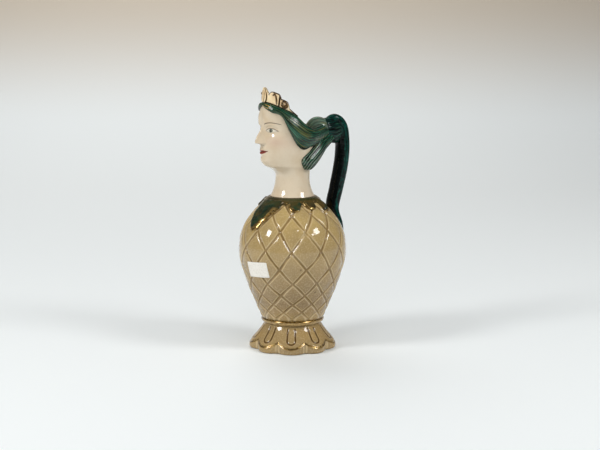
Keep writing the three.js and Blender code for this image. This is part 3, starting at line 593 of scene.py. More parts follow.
CREAM = "#e1d0b6"
CREAM_WARM = "#d6bf9d"
BROWN = "#3b2619"
LIP_RED = "#8e3d31"
IRIS_GREEN = "#3f4d3b"
EYE_WHITE = "#e6dcc8"
BLUSH = "#d8a083"


def through(stations):
    """A smooth curve through rows of a place and its values: gives the values at any place."""
    places = [row[0] for row in stations]
    rises = [
        [(b - a) / (second[0] - first[0]) for a, b in zip(first[1:], second[1:])]
        for first, second in zip(stations, stations[1:])
    ]
    inner = [[(a + b) / 2 for a, b in zip(*pair)] for pair in zip(rises, rises[1:])]
    slopes = [rises[0], *inner, rises[-1]]

    def at(place):
        after = min(max(bisect(places, place), 1), len(places) - 1)
        run = places[after] - places[after - 1]
        s = min(max((place - places[after - 1]) / run, 0.0), 1.0)
        ends = zip(stations[after - 1][1:], slopes[after - 1], stations[after][1:], slopes[after])
        return [
            a + s * s * (3 - 2 * s) * (b - a) + run * s * (1 - s) * ((1 - s) * rise_a - s * rise_b)
            for a, rise_a, b, rise_b in ends
        ]

    return at


def flared_neck(share):
    return [mix(NECK_RADIUS, NECK_BASE_RADIUS, share)] * 3


# Level ovals of neck and skull: height over the neck joint, half breadth, front, back, squareness
oval_at = through(
    [
        [0, *flared_neck(1), 2],
        [0.2 * CHIN, *flared_neck(0.4), 2],
        [0.48 * CHIN, *flared_neck(0), 2],
        [0.72 * CHIN, *flared_neck(0), 2],
        [0.86 * CHIN, 1.03 * NECK_RADIUS, mix(NECK_RADIUS, FACE_DEPTH, 0.3), NECK_RADIUS, 1.95],
        [0.96 * CHIN, 1.08 * NECK_RADIUS, mix(NECK_RADIUS, FACE_DEPTH, 0.72), NECK_RADIUS, 1.9],
        [CHIN + 0.1 * THIRD, 0.8 * HALF_BREADTH, 0.95 * FACE_DEPTH, 0.78 * BACK_DEPTH, 1.85],
        [CHIN + 0.35 * THIRD, 0.86 * HALF_BREADTH, FACE_DEPTH, 0.83 * BACK_DEPTH, 1.85],
        [CHIN + THIRD, 0.95 * HALF_BREADTH, FACE_DEPTH, 0.92 * BACK_DEPTH, 2.05],
        [CHIN + 1.7 * THIRD, HALF_BREADTH, 0.98 * FACE_DEPTH, 0.98 * BACK_DEPTH, 2.2],
        [CHIN + 2.1 * THIRD, HALF_BREADTH, FACE_DEPTH, BACK_DEPTH, 2.25],
        [CHIN + 2.6 * THIRD, 0.98 * HALF_BREADTH, 0.98 * FACE_DEPTH, BACK_DEPTH, 2.2],
        [CHIN + 3.2 * THIRD, 0.94 * HALF_BREADTH, 0.92 * FACE_DEPTH, 0.97 * BACK_DEPTH, 2.15],
    ]
)
# Swellings and hollows of the face in thirds of its height: across, up, their spreads, and rise
FACE_FORMS = [
    (0.0, 0.22, 0.27, 0.2, 1.3),  # chin
    (0.0, 0.43, 0.27, 0.09, -1.0),  # hollow under the lip
    (0.0, 0.58, 0.22, 0.08, 1.5),  # lower lip
    (0.0, 0.74, 0.26, 0.075, 1.4),  # upper lip
    (0.0, 0.87, 0.05, 0.08, -0.5),  # groove under the nose
    (0.2, 1.08, 0.09, 0.09, 2.2),  # wings of the nose
    (0.11, 1.01, 0.05, 0.035, -0.9),  # nostrils
    (0.56, 1.72, 0.26, 0.18, -2.6),  # eye sockets
    (0.57, 1.7, 0.19, 0.12, 2.3),  # eyes
    (0.5, 1.99, 0.3, 0.1, 0.7),  # brow ridges
    (0.76, 1.33, 0.28, 0.25, 1.7),  # cheeks
    (0.36, 2.28, 0.42, 0.3, 1.2),  # forehead
    (0.43, 0.66, 0.06, 0.06, -0.5),  # corners of the mouth
]


def head_oval(azimuth, height):
    breadth, front, back, square = oval_at(height)
    across = abs(sin(azimuth)) / breadth
    along = abs(cos(azimuth)) / (front if cos(azimuth) > 0 else back)
    return (across**square + along**square) ** (-1 / square)


def face_thirds(azimuth, height, radius):
    return abs(radius * sin(azimuth)) / THIRD, (height - CHIN) / THIRD


def mouth_line(across):
    return MOUTH_UP + 0.03 * (across / MOUTH_HALF_WIDTH) ** 2


def lid_levels(across):
    """Heights of the upper and lower lid of the almond-shaped eye."""
    arch = max(0.0, 1 - ((across - EYE_ACROSS) / EYE_HALF_WIDTH) ** 2)
    return EYE_UP + UPPER_LID * arch**0.8, EYE_UP - LOWER_LID * arch


def face_relief(across, up):
    rise = NOSE_RISE * ease(0, 0.9, 2.05 - up) * ease(0.98, 1.1, up)
    rise *= exp(-((across / mix(0.19, 0.12, ease(1.1, 1.6, up))) ** 2))
    for form_across, form_up, wide, tall, height in FACE_FORMS:
        rise += height * exp(-(((across - form_across) / wide) ** 2) - ((up - form_up) / tall) ** 2)
    if across < MOUTH_HALF_WIDTH:
        rise -= 0.6 * stroke(up - mouth_line(across), 1.6 * LINE)
    if abs(across - EYE_ACROSS) < EYE_HALF_WIDTH:
        top, low = lid_levels(across)
        rise += 0.45 * stroke(up - top, 0.06) + 0.3 * stroke(up - low, 0.05)
        rise -= 0.4 * stroke(up - top - 0.1, 0.05)
    return rise


def head_radius(azimuth, height):
    radius = head_oval(azimuth, height)
    if cos(azimuth) > 0:
        radius += face_relief(*face_thirds(azimuth, height, radius))
    return radius


def rim_level(radius, azimuth):
    """Height of the mouth's edge: it slopes down to the back and dips behind the tiara."""
    behind = head_oval(0, RIM_FRONT) - radius * cos(azimuth)
    return RIM_FRONT - tan(RIM_TILT) * behind - RIM_DIP * ease(0.65 * FACE_DEPTH, 1.05 * FACE_DEPTH, behind)


def rim_height(azimuth):
    height = RIM_FRONT
    for _ in range(8):
        height = rim_level(head_oval(azimuth, height), azimuth)
    return height


def face_paint(across, up):
    """Shares of brown line, lip red, iris and eye white at a place on the face; the brown also darkens the
    nostrils as painted shade.
    """
    brow_away = (across - 0.62) / BROW_HALF_LENGTH
    brow = stroke(up - BROW_UP - BROW_ARCH * (1 - brow_away**2), LINE * (1.3 - 0.5 * brow_away))
    brow *= 1 - ease(0.85, 1.0, abs(brow_away))
    top, low = lid_levels(across)
    eye_away = abs(across - EYE_ACROSS) / EYE_HALF_WIDTH
    lash = stroke(up - top, 1.3 * LINE) * (1 - ease(1.0, 1.15, eye_away))
    lower_lash = 0.5 * stroke(up - low, 0.8 * LINE) * (1 - ease(0.9, 1.0, eye_away))
    inside = ease(low - 0.01, low + 0.01, up) * (1 - ease(top - 0.01, top + 0.01, up)) * (eye_away < 1)
    centre = hypot(across - EYE_ACROSS, up - EYE_UP - 0.02)
    iris = inside * (1 - ease(0.85 * IRIS_RADIUS, 1.1 * IRIS_RADIUS, centre))
    pupil = inside * (1 - ease(0.8 * PUPIL_RADIUS, 1.2 * PUPIL_RADIUS, centre))
    lip_share = 1 - (across / MOUTH_HALF_WIDTH) ** 2
    line = mouth_line(across)
    bow = 1 - 0.3 * exp(-((across / 0.09) ** 2))
    lip_top, lip_low = line + UPPER_LIP * lip_share * bow, line - LOWER_LIP * lip_share
    lip = ease(lip_low - 0.02, lip_low + 0.02, up) * (1 - ease(lip_top - 0.02, lip_top + 0.02, up))
    lip *= lip_share > 0
    parted = 0.8 * stroke(up - line, LINE) * (lip_share > 0)
    # brown in the nostril hollows: painted shade
    nostril = 0.55 * exp(-(((across - 0.11) / 0.04) ** 2) - ((up - 1.01) / 0.03) ** 2)
    return max(brow, lash, lower_lash, pupil, parted, nostril), lip, iris, inside


FACE_ROWS, RIM_ROWS = 0.86, 0.9  # shares of the section up the outside and over the rim


def head_spot(around, along):
    turned = 2 * pi * (around - 0.5)
    azimuth = turned - 0.5 * sin(turned)
    rim = rim_height(azimuth)
    marks = (0.0, 0.0, 0.0, 0.0, 0.0)
    if along < FACE_ROWS:
        up_share = along / FACE_ROWS
        height = rim * (1.5 * up_share if up_share < 0.2 else mix(0.3, 1, (up_share - 0.2) / 0.8))
        oval = head_oval(azimuth, height)
        radius = head_radius(azimuth, height) - RIM_ROUND * ease(rim - RIM_ROUND, rim, height) ** 2
        if cos(azimuth) > 0.3:
            across, up = face_thirds(azimuth, height, oval)
            blush = 0.3 * exp(-(((across - 0.75) / 0.32) ** 2) - ((up - 1.15) / 0.3) ** 2)
            marks = (*face_paint(across, up), blush)
        z = height
    elif along < RIM_ROWS:
        inwards = way(FACE_ROWS, RIM_ROWS, along)
        radius = head_oval(azimuth, rim) - mix(RIM_ROUND, WALL, inwards)
        z = rim_level(radius, azimuth)
    else:
        down = way(RIM_ROWS, 1, along)
        top = rim_level(head_oval(azimuth, rim) - WALL, azimuth)
        z = top * (1 - down)
        radius = min(head_oval(azimuth, max(0.0, z - 0.7 * WALL)), head_oval(azimuth, z)) - WALL
    return polar(radius, azimuth, NECK_JOINT + z), *marks


def cream_tint(tree):
    warm = cloud(tree, 45, 0.4, 0.75, 3.0)
    specks = times(tree, cloud(tree, 600, 0.5, 0.75), 0.25)
    return laid_over(tree, CREAM, (warm, CREAM_WARM), (specks, CREAM_WARM))


def face_tint(tree):
    return laid_over(
        tree,
        cream_tint(tree),
        (mark(tree, "blush"), BLUSH),
        (mark(tree, "white"), EYE_WHITE),
        (mark(tree, "iris"), IRIS_GREEN),
        (mark(tree, "lip"), LIP_RED),
        (mark(tree, "brown"), BROWN),
    )


face_glaze = glazed("cream_face_glaze", face_tint, gilded=False, ripple=0.06)
face_marks = ("brown", "lip", "iris", "white", "blush")
head = piece("head_and_neck", skin(300, 250, head_spot, face_marks), face_glaze)
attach(head, "root")
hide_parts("head")

# Collar: a thin band of clay smoothed over the joint of neck and belly, under dark olive-green glaze
# that breaks to brown where it is thin. Its lower edge waves between the leaves.
COLLAR_LIP = 1.4
COLLAR_THICKNESS = 1.6
COLLAR_OUTSIDE = 0.75
LEAF_GREEN = "#263a24"
LEAF_BLACK = "#101a12"
OLIVE = "#4b4520"
OLIVE_BROWN = "#54421c"


def leaf_tint(tree):
    return laid_over(
        tree,
        LEAF_GREEN,
        (cloud(tree, 60, 0.35, 0.65, 2.0), LEAF_BLACK),
        (times(tree, cloud(tree, 150, 0.5, 0.75), 0.5), OLIVE),
        (mark(tree, "pool"), OLIVE_BROWN),
    )


def on_sheet(around, shown):
    """Whether a place in a sheet's section is on the side that shows, and how far across it lies."""
    outside = around < shown
    return outside, around / shown if outside else (1 - around) / (1 - shown)


def collar_spot(around, along):
    azimuth = 2 * pi * along
    ragged = noise.noise(Vector((3 * sin(azimuth), 3 * cos(azimuth), 2)))
    lower = COLLAR_DROP + 1.2 + 1.6 * ragged
    outside, up = on_sheet(around, COLLAR_OUTSIDE)
    full = (1 - abs(2 * up - 1) ** 5) ** 0.6
    lift = COLLAR_THICKNESS * full if outside else -0.5 * full
    share = up / 0.85
    if share < 1:
        spot = on_body(mix(lower, 0, share), azimuth, lift)
    else:
        height = COLLAR_LIP * (share - 1) / (1 / 0.85 - 1)
        spot = polar(head_oval(azimuth, height) + lift, azimuth, NECK_JOINT + height)
    flecks = ease(0.25, 0.45, noise.noise(Vector((9 * sin(azimuth), 9 * cos(azimuth), 6 * up))))
    brown = max(0.85 - 0.6 * ease(0.1, 0.8, up), stroke(1 - up, 0.14))
    return spot, brown, 0.8 * flecks * (1 - ease(0.15, 0.45, up)) * outside


leaf_glaze = glazed("leaf_glaze", leaf_tint, coat=0.7)
collar = piece("collar_band", skin(28, 360, collar_spot, ("pool", "gilt")), leaf_glaze)
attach(collar, "root")
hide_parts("collar")

# Leaves: one large leaf droops from the collar under the chin, and small lobes hang round the
# shoulder. They are rolled clay pressed on, green like the collar, with gold lustre on their edges.
LEAF_THICKNESS = 2.2
LEAF_OUTSIDE = 0.7
LOBE_WIDTH = 13.0
# Azimuth in degrees, length, width, fullness, the side with lustre, and how brown the glaze breaks
LEAVES = {
    "leaf_front": (10, 36, 34, 1.5, 1, 0.3),
    "leaf_left_1": (66, 11, LOBE_WIDTH, 3, -1, 0.6),
    "leaf_left_2": (97, 9, LOBE_WIDTH, 3, -1, 0.95),
    "leaf_left_3": (133, 14, LOBE_WIDTH, 3, 1, 0.95),
    "leaf_right_1": (-48, 11, LOBE_WIDTH, 3, -1, 0.7),
    "leaf_right_2": (-81, 9, LOBE_WIDTH, 3, 1, 0.8),
    "leaf_right_3": (-119, 14, LOBE_WIDTH, 3, -1, 0.6),
}


def leaf_spot(azimuth, length, width, fullness, lustre, brown):
    def spot(around, along):
        outside, share = on_sheet(around, LEAF_OUTSIDE)
        across = 2 * share - 1
        taper = max(0.0, 1 - along**fullness) ** (1 / fullness)
        drop = COLLAR_DROP - 1.5 + (length + 1.5) * along
        lumps = noise.noise(Vector((0.1 * width * across * taper, 0.2 * drop, radians(azimuth))))
        aside = across * width / 2 * taper * (1 + 0.12 * lumps * abs(across))
        crown = (1 - abs(across) ** 3) ** 0.5 * (1 - along**8) ** 0.5
        lift = (LEAF_THICKNESS * (1 - 0.25 * along) * (1 + 0.25 * lumps) if outside else -0.5) * crown
        radius, _ = body_outline(drop, 0)
        edge = lustre * across + 2.2 * max(0.0, along - 0.55) + 0.15 * lumps
        gilt = max(ease(0.6, 0.7, edge) * ease(0.2, 0.3, along), ease(0.84, 0.9, along))
        olive = brown * (1 - ease(0, 0.3 + brown, along + lumps))
        return on_body(drop, radians(azimuth) + aside / radius, lift), olive, 0.9 * gilt

    return spot


for name, shape in LEAVES.items():
    fine = 2 if name == "leaf_front" else 1
    bm = skin(50 * fine, 50 * fine, leaf_spot(*shape), ("pool", "gilt"), close=True)
    leaf = piece("green_" + name, bm, leaf_glaze)
    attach(leaf, "root")
    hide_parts(name)

# Hair: each side sweeps from the centre parting over the temple and on to where the tail is gathered
# behind the head. It is clay laid on the skull and combed into strands, under green glaze brushed on
# in streaks, with a smear of gold lustre at the parting.
PARTING = 0.8
HAIR_LEAVES = 112.0  # azimuth in degrees where the sweep leaves the skull
HAIR_TURNS_ON = 16.0
LEAD = 0.74  # share of the sweep up to there
HAIR_EDGE = 1.3
HAIR_SWELL = 4.6
HAIR_OUTSIDE = 0.8
STRANDS = 12
STRAND_DEPTH = 0.2
KNOT = Vector((0, BACK_DEPTH + 4.5, NECK_JOINT + CHIN + 31.5))
GATHER = KNOT + Vector((9.0, 9.5, -0.5))
GATHER_HALF_HEIGHT = 9.5
HAIR_GREEN = "#0b4a35"
HAIR_DARK = "#02130c"
HAIR_LIGHT = "#3f7a5c"
HAIR_OLIVE = "#686834"
HAIR_PALE = "#a9b7a4"
SIDES = {"left": 1, "right": -1}
# Lower border of the hair: degrees from the parting, and thirds of the face over the chin
hairline = through(
    [(0, 2.9), (23, 2.6), (43, 2.36), (57, 1.62), (74, 0.98), (92, 0.76), (HAIR_LEAVES, 0.86)]
)


def hair_tint(tree):
    return laid_over(
        tree,
        HAIR_GREEN,
        (cloud(tree, 3.0, 0.42, 0.56, 4.0, (9, 1.6, 1)), HAIR_DARK),
        (cloud(tree, 3.0, 0.53, 0.64, 4.0, (14, 1.2, 1)), HAIR_LIGHT),
        (times(tree, cloud(tree, 2.0, 0.53, 0.64, 4.0, (11, 1.4, 1)), 0.8), HAIR_OLIVE),
        (mark(tree, "pool"), HAIR_DARK),
        # pale comb lines and strands, and on the sweeps a painted sheen
        (mark(tree, "pale_and_sheen"), HAIR_PALE),
    )


def strand(phase):
    """1 in the narrow groove between two strands, 0 on their backs."""
    return 1 - abs(sin(pi * phase)) ** 0.5


def hair_spot(side):
    def spot(around, along):
        lead = max(0.0, way(LEAD, 1, along))
        degrees = mix(PARTING, HAIR_LEAVES, min(1.0, along / LEAD)) + HAIR_TURNS_ON * lead
        azimuth = side * radians(degrees)
        outside, up = on_sheet(around, HAIR_OUTSIDE)
        height = mix(CHIN + THIRD * hairline(degrees)[0], rim_height(azimuth), up)
        fullness = mix(0.25, 1, ease(15, 70, degrees))
        edge = (1 - abs(2 * up - 1) ** 8) ** 0.5
        sway = 0.35 * sin(4 * along + 1) + 0.5 * noise.noise(Vector((6 * along, 3 * up, side)))
        groove = strand(STRANDS * up + sway) * ease(0.02, 0.12, up) * (1 - ease(0.9, 1.0, up))
        thick = -0.6 * edge
        if outside:
            swell = HAIR_SWELL * sin(pi * up) ** 0.8 - STRAND_DEPTH * groove
            thick = HAIR_EDGE * edge + fullness * swell
        place = polar(head_radius(azimuth, height) + thick, azimuth, NECK_JOINT + height)
        depth = GATHER.x * (0.4 + 0.6 * sin(pi * up)) - STRAND_DEPTH * groove if outside else 0.3 * GATHER.x
        rise = GATHER_HALF_HEIGHT * (2 * up - 1) * (1 if outside else 0.8)
        gathered = Vector((side * depth, GATHER.y, GATHER.z + rise))
        place = place.lerp(gathered, mix(lead, ease(0, 1, lead), 0.6))
        border = (1 - ease(0.02, 0.09, up)) * outside
        brushed = ease(-0.15, 0.25, noise.noise(Vector((8 * along, 6 * up, 3))))
        smear = brushed * ease(0.01, 0.03, along) * (1 - ease(0.11, 0.16, along))
        # a faint pale patch on the strand backs, high on the middle of the sweep: a painted sheen
        pale_and_sheen = 0.1 * stroke(up - 0.75, 0.2) * stroke(along - 0.45, 0.2) * (1 - groove)
        return place, max(border, 0.85 * groove), pale_and_sheen, 0.9 * smear * (side > 0)

    return spot


hair_glaze = glazed("hair_glaze", hair_tint, coat=0.8)
hair_marks = ("pool", "pale_and_sheen", "gilt")
for side_name, side in SIDES.items():
    bm = skin(120, 200, hair_spot(side), hair_marks, close=True)
    swept = piece("hair_sweep_" + side_name, bm, hair_glaze)
    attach(swept, "root")
    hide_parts("hair_" + side_name)

# Chignon: the knot at the back of the head, a ball of clay pressed on behind the mouth and combed
# towards the gathered tail.
KNOT_HALF = Vector((12.5, 13.0, 13.5))
KNOT_STRANDS = 18


def pressed_on(place):
    """Keeps a piece on the head out of its hollow: what would reach through the wall ends within it."""
    if hypot(place.x, place.y) > BACK_DEPTH:
        return place
    azimuth, height = atan2(place.x, -place.y), place.z - NECK_JOINT
    over = max(0.0, height - rim_height(azimuth)) if height > CHIN + 1.2 * THIRD else 0.0
    least = (head_oval(azimuth, height - over) - 0.4 * WALL) * (1 - ease(0, 5, over))
    return place if hypot(place.x, place.y) > least else polar(least, azimuth, place.z)


def chignon_spot(around, along):
    turned, tilted = 2 * pi * around, pi * (along - 0.5)
    sway = 0.5 * sin(3 * tilted) + 0.4 * noise.noise(Vector((2 * cos(turned), 2 * sin(turned), 3 * along)))
    groove = strand(KNOT_STRANDS * around + sway) * cos(tilted)
    ball = Vector((cos(tilted) * cos(turned), sin(tilted), cos(tilted) * sin(turned)))
    place = KNOT + KNOT_HALF * ball * (1 - 0.018 * groove)
    return pressed_on(place), 0.7 * groove, 0.28 * (1 - groove) * cos(tilted), 0.0


chignon = piece("hair_knot", skin(180, 90, chignon_spot, hair_marks), hair_glaze)
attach(chignon, "root")
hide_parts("chignon")

# Nape locks: a rolled lock on each side, from behind the ear up and back to the gathered tail, with
# pale lines between its strands where the comb went through the glaze.
NAPE_BOTTOM = NECK_JOINT + CHIN
NAPE_HALF_THICKNESS = 8.2
NAPE_ROOT = 39.7  # how far behind the jug's axis the locks meet the tail
LOCK_SPACING = 2.5


def bar(path, halves, square):
    """A rounded bar along a path: gives the point at a place along it and an angle round it."""
    stations = [(i / (len(path) - 1), *spot, *half) for i, (spot, half) in enumerate(zip(path, halves))]
    course = through(stations)

    def rounded(value):
        return abs(value) ** (2 / square) * (1 if value > 0 else -1)

    def at(along, angle, swell):
        x, y, z, wide, deep = course(along)
        ahead = Vector(course(min(along + 0.01, 1))[:3]) - Vector(course(max(along - 0.01, 0))[:3])
        outward = ahead.cross(Vector((1, 0, 0))).normalized()
        across = outward.cross(ahead).normalized()
        reach = across * (wide + swell) * rounded(cos(angle)) + outward * (deep + swell) * rounded(sin(angle))
        return Vector((x, y, z)) + reach

    return at


def rounding(along, share):
    """How far a bar's rounded end has opened, from 0 at its tip to 1."""
    return (1 - (1 - min(1.0, along / share)) ** 2) ** 0.5


def nape_spot(side):
    rise = KNOT.z - NAPE_BOTTOM
    path = [
        (side * 1.08 * NECK_RADIUS, 0.06 * NECK_RADIUS, NAPE_BOTTOM - 0.02 * rise),
        (side * 1.02 * NECK_RADIUS, 0.24 * NECK_RADIUS, NAPE_BOTTOM + 0.04 * rise),
        (side * 0.9 * NECK_RADIUS, 0.6 * NECK_RADIUS, NAPE_BOTTOM + 0.16 * rise),
        (side * 0.58 * NECK_RADIUS, mix(0.6 * NECK_RADIUS, NAPE_ROOT, 0.5), NAPE_BOTTOM + 0.57 * rise),
        (side * 0.25 * NECK_RADIUS, NAPE_ROOT, NAPE_BOTTOM + 0.78 * rise),
    ]
    halves = [[share * NAPE_HALF_THICKNESS] * 2 for share in (0.6, 0.98, 1.12, 1, 0.68)]
    lock = bar(path, halves, 2)
    combing = (Vector(path[3]) - Vector(path[1])).cross(Vector((side * 0.87, -0.46, 0.15))).normalized()

    def spot(around, along):
        angle = 2 * pi * around
        blunt = 0.55 * NAPE_HALF_THICKNESS * (1 - rounding(along, 0.1))
        combed = combing.dot(lock(along, angle, -blunt)) / LOCK_SPACING
        groove = strand(combed + 0.2 * sin(5 * along))
        upper = ease(0.5, 0.75, along)
        pale_and_sheen = 0.55 * ease(0.3, 0.55, groove) * (1 - upper)
        place = pressed_on(lock(along, angle, -0.3 * groove - blunt))
        return place, mix(0.4, groove, upper), pale_and_sheen, 0.0

    return spot


for side_name, side in SIDES.items():
    bm = skin(160, 110, nape_spot(side), hair_marks, close=True)
    lock = piece("nape_roll_" + side_name, bm, hair_glaze)
    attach(lock, "root")
    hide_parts("nape_lock_" + side_name)

# Handle: the tail of hair. Sweeps, knot and nape locks are gathered into its thick root, and from there
# a pulled strap of clay turns over and comes down to the shoulder, where its end is smeared on. Its
# glaze is nearly black where it pools in the grooves and tick marks, and its inner face is painted near
# black: painted shade.
HANDLE_WIDTH = 14.2
HANDLE_THICKNESS = 13.2
HANDLE_REACH = BODY_RADIUS + 3.0
HANDLE_RISE = 8.9
ROOT_HALF_WIDTH = 11.4
ROOT_HALF_HEIGHT = 11.8
ROOT_STRANDS = 22
TAIL_STRANDS = 10
LANDING = BODY_TOP - 14.0
TAIL_END = LANDING - 31.0
SMEAR_ASIDE = 6.0
HANDLE_TEAL = "#033e35"
HANDLE_BLACK = "#000403"
HANDLE_SHEEN = "#0b564a"


def body_radius(z):
    return min(body_rows, key=lambda row: abs(row[2] - z))[1]


def handle_tint(tree):
    return laid_over(
        tree,
        HANDLE_TEAL,
        (cloud(tree, 3.0, 0.4, 0.6, 4.0, (7, 2.0, 1)), HANDLE_BLACK),
        (times(tree, cloud(tree, 4.0, 0.5, 0.7, 3.0, (4, 5.0, 1)), 0.7), HANDLE_SHEEN),
        (mark(tree, "pool"), HANDLE_BLACK),
    )


def root_tint(tree):
    return laid_over(
        tree,
        HANDLE_TEAL,
        (cloud(tree, 3.0, 0.35, 0.6, 4.0, (9, 0.5, 1)), HANDLE_BLACK),
        (mark(tree, "pool"), HANDLE_BLACK),
        (mark(tree, "pale_and_sheen"), HAIR_LIGHT),
    )


def root_bar():
    face = HANDLE_REACH - HANDLE_THICKNESS / 2
    places = [mix(KNOT.y, face, share) for share in (0.16, 0.45, 0.73, 0.98)]
    places.append(face + 0.35 * HANDLE_THICKNESS)
    shares = ((1, 1), (0.95, 1.02), (0.82, 1.14), (0.68, 1.12), (0.5, 0.7))
    halves = [(wide * ROOT_HALF_WIDTH, high * ROOT_HALF_HEIGHT) for wide, high in shares]
    return bar([(0, place, KNOT.z) for place in places], halves, 2.4)


def tail_bar():
    drop, smear = KNOT.z - LANDING, mix(LANDING, TAIL_END, 0.5)
    path = [
        (mix(KNOT.y, HANDLE_REACH, 0.42), KNOT.z + 0.55 * HANDLE_RISE),
        (mix(KNOT.y, HANDLE_REACH, 0.69), KNOT.z + HANDLE_RISE),
        (HANDLE_REACH - 0.16 * HANDLE_THICKNESS, KNOT.z + 0.2 * HANDLE_RISE),
        (HANDLE_REACH, KNOT.z - 0.16 * drop),
        (HANDLE_REACH - 0.03 * HANDLE_THICKNESS, KNOT.z - 0.34 * drop),
        (HANDLE_REACH - 0.2 * HANDLE_THICKNESS, KNOT.z - 0.52 * drop),
        (mix(HANDLE_REACH, body_radius(LANDING), 0.4), KNOT.z - 0.76 * drop),
        (body_radius(LANDING) + 0.48 * HANDLE_THICKNESS, LANDING),
        (body_radius(smear) + 0.13 * HANDLE_THICKNESS, smear),
        (body_radius(TAIL_END) + 0.03 * HANDLE_THICKNESS, TAIL_END),
    ]
    wide = (0.95, 1, 1, 1, 1, 1, 1, 1, 0.9, 0.45)
    deep = (0.95, 1, 1, 1, 1, 1, 0.95, 0.85, 0.45, 0.18)
    halves = [(w * HANDLE_WIDTH / 2, d * HANDLE_THICKNESS / 2) for w, d in zip(wide, deep)]
    wander = [SMEAR_ASIDE * share for share in (0, 0, 0, 0, 0, 0, 0, 0.12, 0.5, 1)]
    return bar([(x, *spot) for x, spot in zip(wander, path)], halves, 2.8)


root_shape = root_bar()
tail_shape = tail_bar()


def root_spot(around, along):
    angle = 2 * pi * around
    sway = 0.6 * sin(2.5 * along) + 0.5 * noise.noise(Vector((2 * cos(angle), 2 * sin(angle), 3 * along)))
    groove = strand(ROOT_STRANDS * around + sway)
    lip = 1.6 * (1 - rounding(along, 0.18))
    pale_and_sheen = 0.45 * ease(0.4, 0.7, groove) * ease(0.4, 0.6, along)
    return root_shape(along, angle, -0.4 * groove - lip), 0.8 * groove, pale_and_sheen


def tail_spot(around, along):
    angle = 2 * pi * around
    sway = 0.4 * noise.noise(Vector((2 * cos(angle), 2 * sin(angle), 9 * along)))
    groove = strand(TAIL_STRANDS * around + sway) * mix(1, 0.2, ease(0.2, 0.45, along))
    tick = stroke((24 * along + 0.3 * sin(angle)) % 1 - 0.5, 0.08) * 0.06 * ease(0.3, 0.6, cos(angle))
    ragged = 0.06 * noise.noise(Vector((0, 3, 40 * along)))
    # the inner face, towards the neck, is painted near black: painted shade
    inner = ease(0.04, 0.14, sin(angle) + ragged) * ease(0.2, 0.3, along)
    return tail_shape(along, angle, -0.3 * groove - tick), max(0.6 * groove, inner, 4 * tick)


root_glaze = glazed("root_glaze", root_tint, gilded=False, coat=0.35)
handle_glaze = glazed("handle_glaze", handle_tint, gilded=False, coat=0.35)
for name, bm, glaze in (
    ("gathered_root", skin(176, 60, root_spot, ("pool", "pale_and_sheen"), close=True), root_glaze),
    ("hair_tail_handle", skin(96, 320, tail_spot, ("pool",), close=True), handle_glaze),
):
    handle = piece(name, bm, glaze)
    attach(handle, "root")
    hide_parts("handle")

# Tiara: a crest of cream-glazed clay that stands on the front of the rim. Its top runs from a point
# at the front over an arch and a volute on each side to a low end, and its edges are lined in lustre.
TIARA_SPAN = 75.0
TIARA_HEIGHT = 15.6
TIARA_THICKNESS = 3.0
TIARA_SETBACK = 0.5
TIARA_LEAN = -0.03
TIARA_BAND, TIARA_END_HEIGHT = 4.8, 1.4
POINT_SPAN = 26.0
ARCH_AZIMUTH, ARCH_HALF_SPAN, ARCH_HEIGHT = 29.0, 7.2, 13.4
VOLUTE_AZIMUTH, VOLUTE_RADIUS, VOLUTE_HEIGHT = 45.5, 3.6, 9.6
COIL_RADIUS = 0.8
TIARA_FRONT = 0.7  # share of the section that shows
EDGE_LINE = 2.4
LINE_BROWN = "#2e1c0b"
TIARA_CREAM = "#ffe8bd"
TIARA_WARM = "#eecb9b"


def tiara_top(degrees):
    out = abs(degrees)
    point = TIARA_HEIGHT * max(0.0, 1 - out / POINT_SPAN) ** 0.7
    arch_spread = (2.4 if out < ARCH_AZIMUTH else 1.55) * ARCH_HALF_SPAN
    arch = ARCH_HEIGHT * exp(-(((out - ARCH_AZIMUTH) / arch_spread) ** 6))
    spread = atan2(VOLUTE_RADIUS + 3 * COIL_RADIUS, head_oval(0, RIM_FRONT)) / radians(1)
    volute = VOLUTE_HEIGHT * exp(-(((out - VOLUTE_AZIMUTH) / spread) ** 6))
    run = ease(0, TIARA_SPAN - VOLUTE_AZIMUTH, TIARA_SPAN - out)
    return max(point, arch, volute, mix(TIARA_END_HEIGHT, TIARA_BAND, run))


def on_tiara(azimuth, height, lift):
    foot_radius = head_oval(azimuth, rim_height(azimuth)) - TIARA_SETBACK + lift
    level = NECK_JOINT + rim_level(foot_radius, azimuth) + height
    return polar(foot_radius + TIARA_LEAN * height, azimuth, level)


def tiara_spot(around, along):
    degrees = mix(-TIARA_SPAN, TIARA_SPAN, along)
    top = tiara_top(degrees)
    outside, up = on_sheet(around, TIARA_FRONT)
    height = top * up
    edge = (1 - abs(2 * up - 1) ** 12) ** 0.5
    lift = TIARA_THICKNESS / 2 * (edge - 1 if outside else -edge - 1)
    arch_side = (abs(degrees) - ARCH_AZIMUTH - 1.15 * ARCH_HALF_SPAN) * 0.55 + 0.12 * (ARCH_HEIGHT - height)
    crest = stroke(top - height, EDGE_LINE) * mix(0.3, 1, ease(0.4, 0.7, abs(degrees) / POINT_SPAN))
    face_lines = max(stroke(height, 0.8 * EDGE_LINE), stroke(arch_side, 0.6 * EDGE_LINE)) * outside
    lined = max(crest, face_lines)
    return on_tiara(radians(degrees), height, lift), lined, 0.2 * stroke(top - height, 0.4 * EDGE_LINE)


def tiara_tint(tree):
    lines = from_to(tree, mark(tree, "pool"), 0.05, 0.6)
    return laid_over(tree, TIARA_CREAM, (cloud(tree, 120, 0.35, 0.7), TIARA_WARM), (lines, LINE_BROWN))


tiara_glaze = glazed("tiara_glaze", tiara_tint)
tiara = piece("tiara_crest", skin(80, 420, tiara_spot, ("pool", "gilt"), close=True), tiara_glaze)
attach(tiara, "root")
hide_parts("tiara")

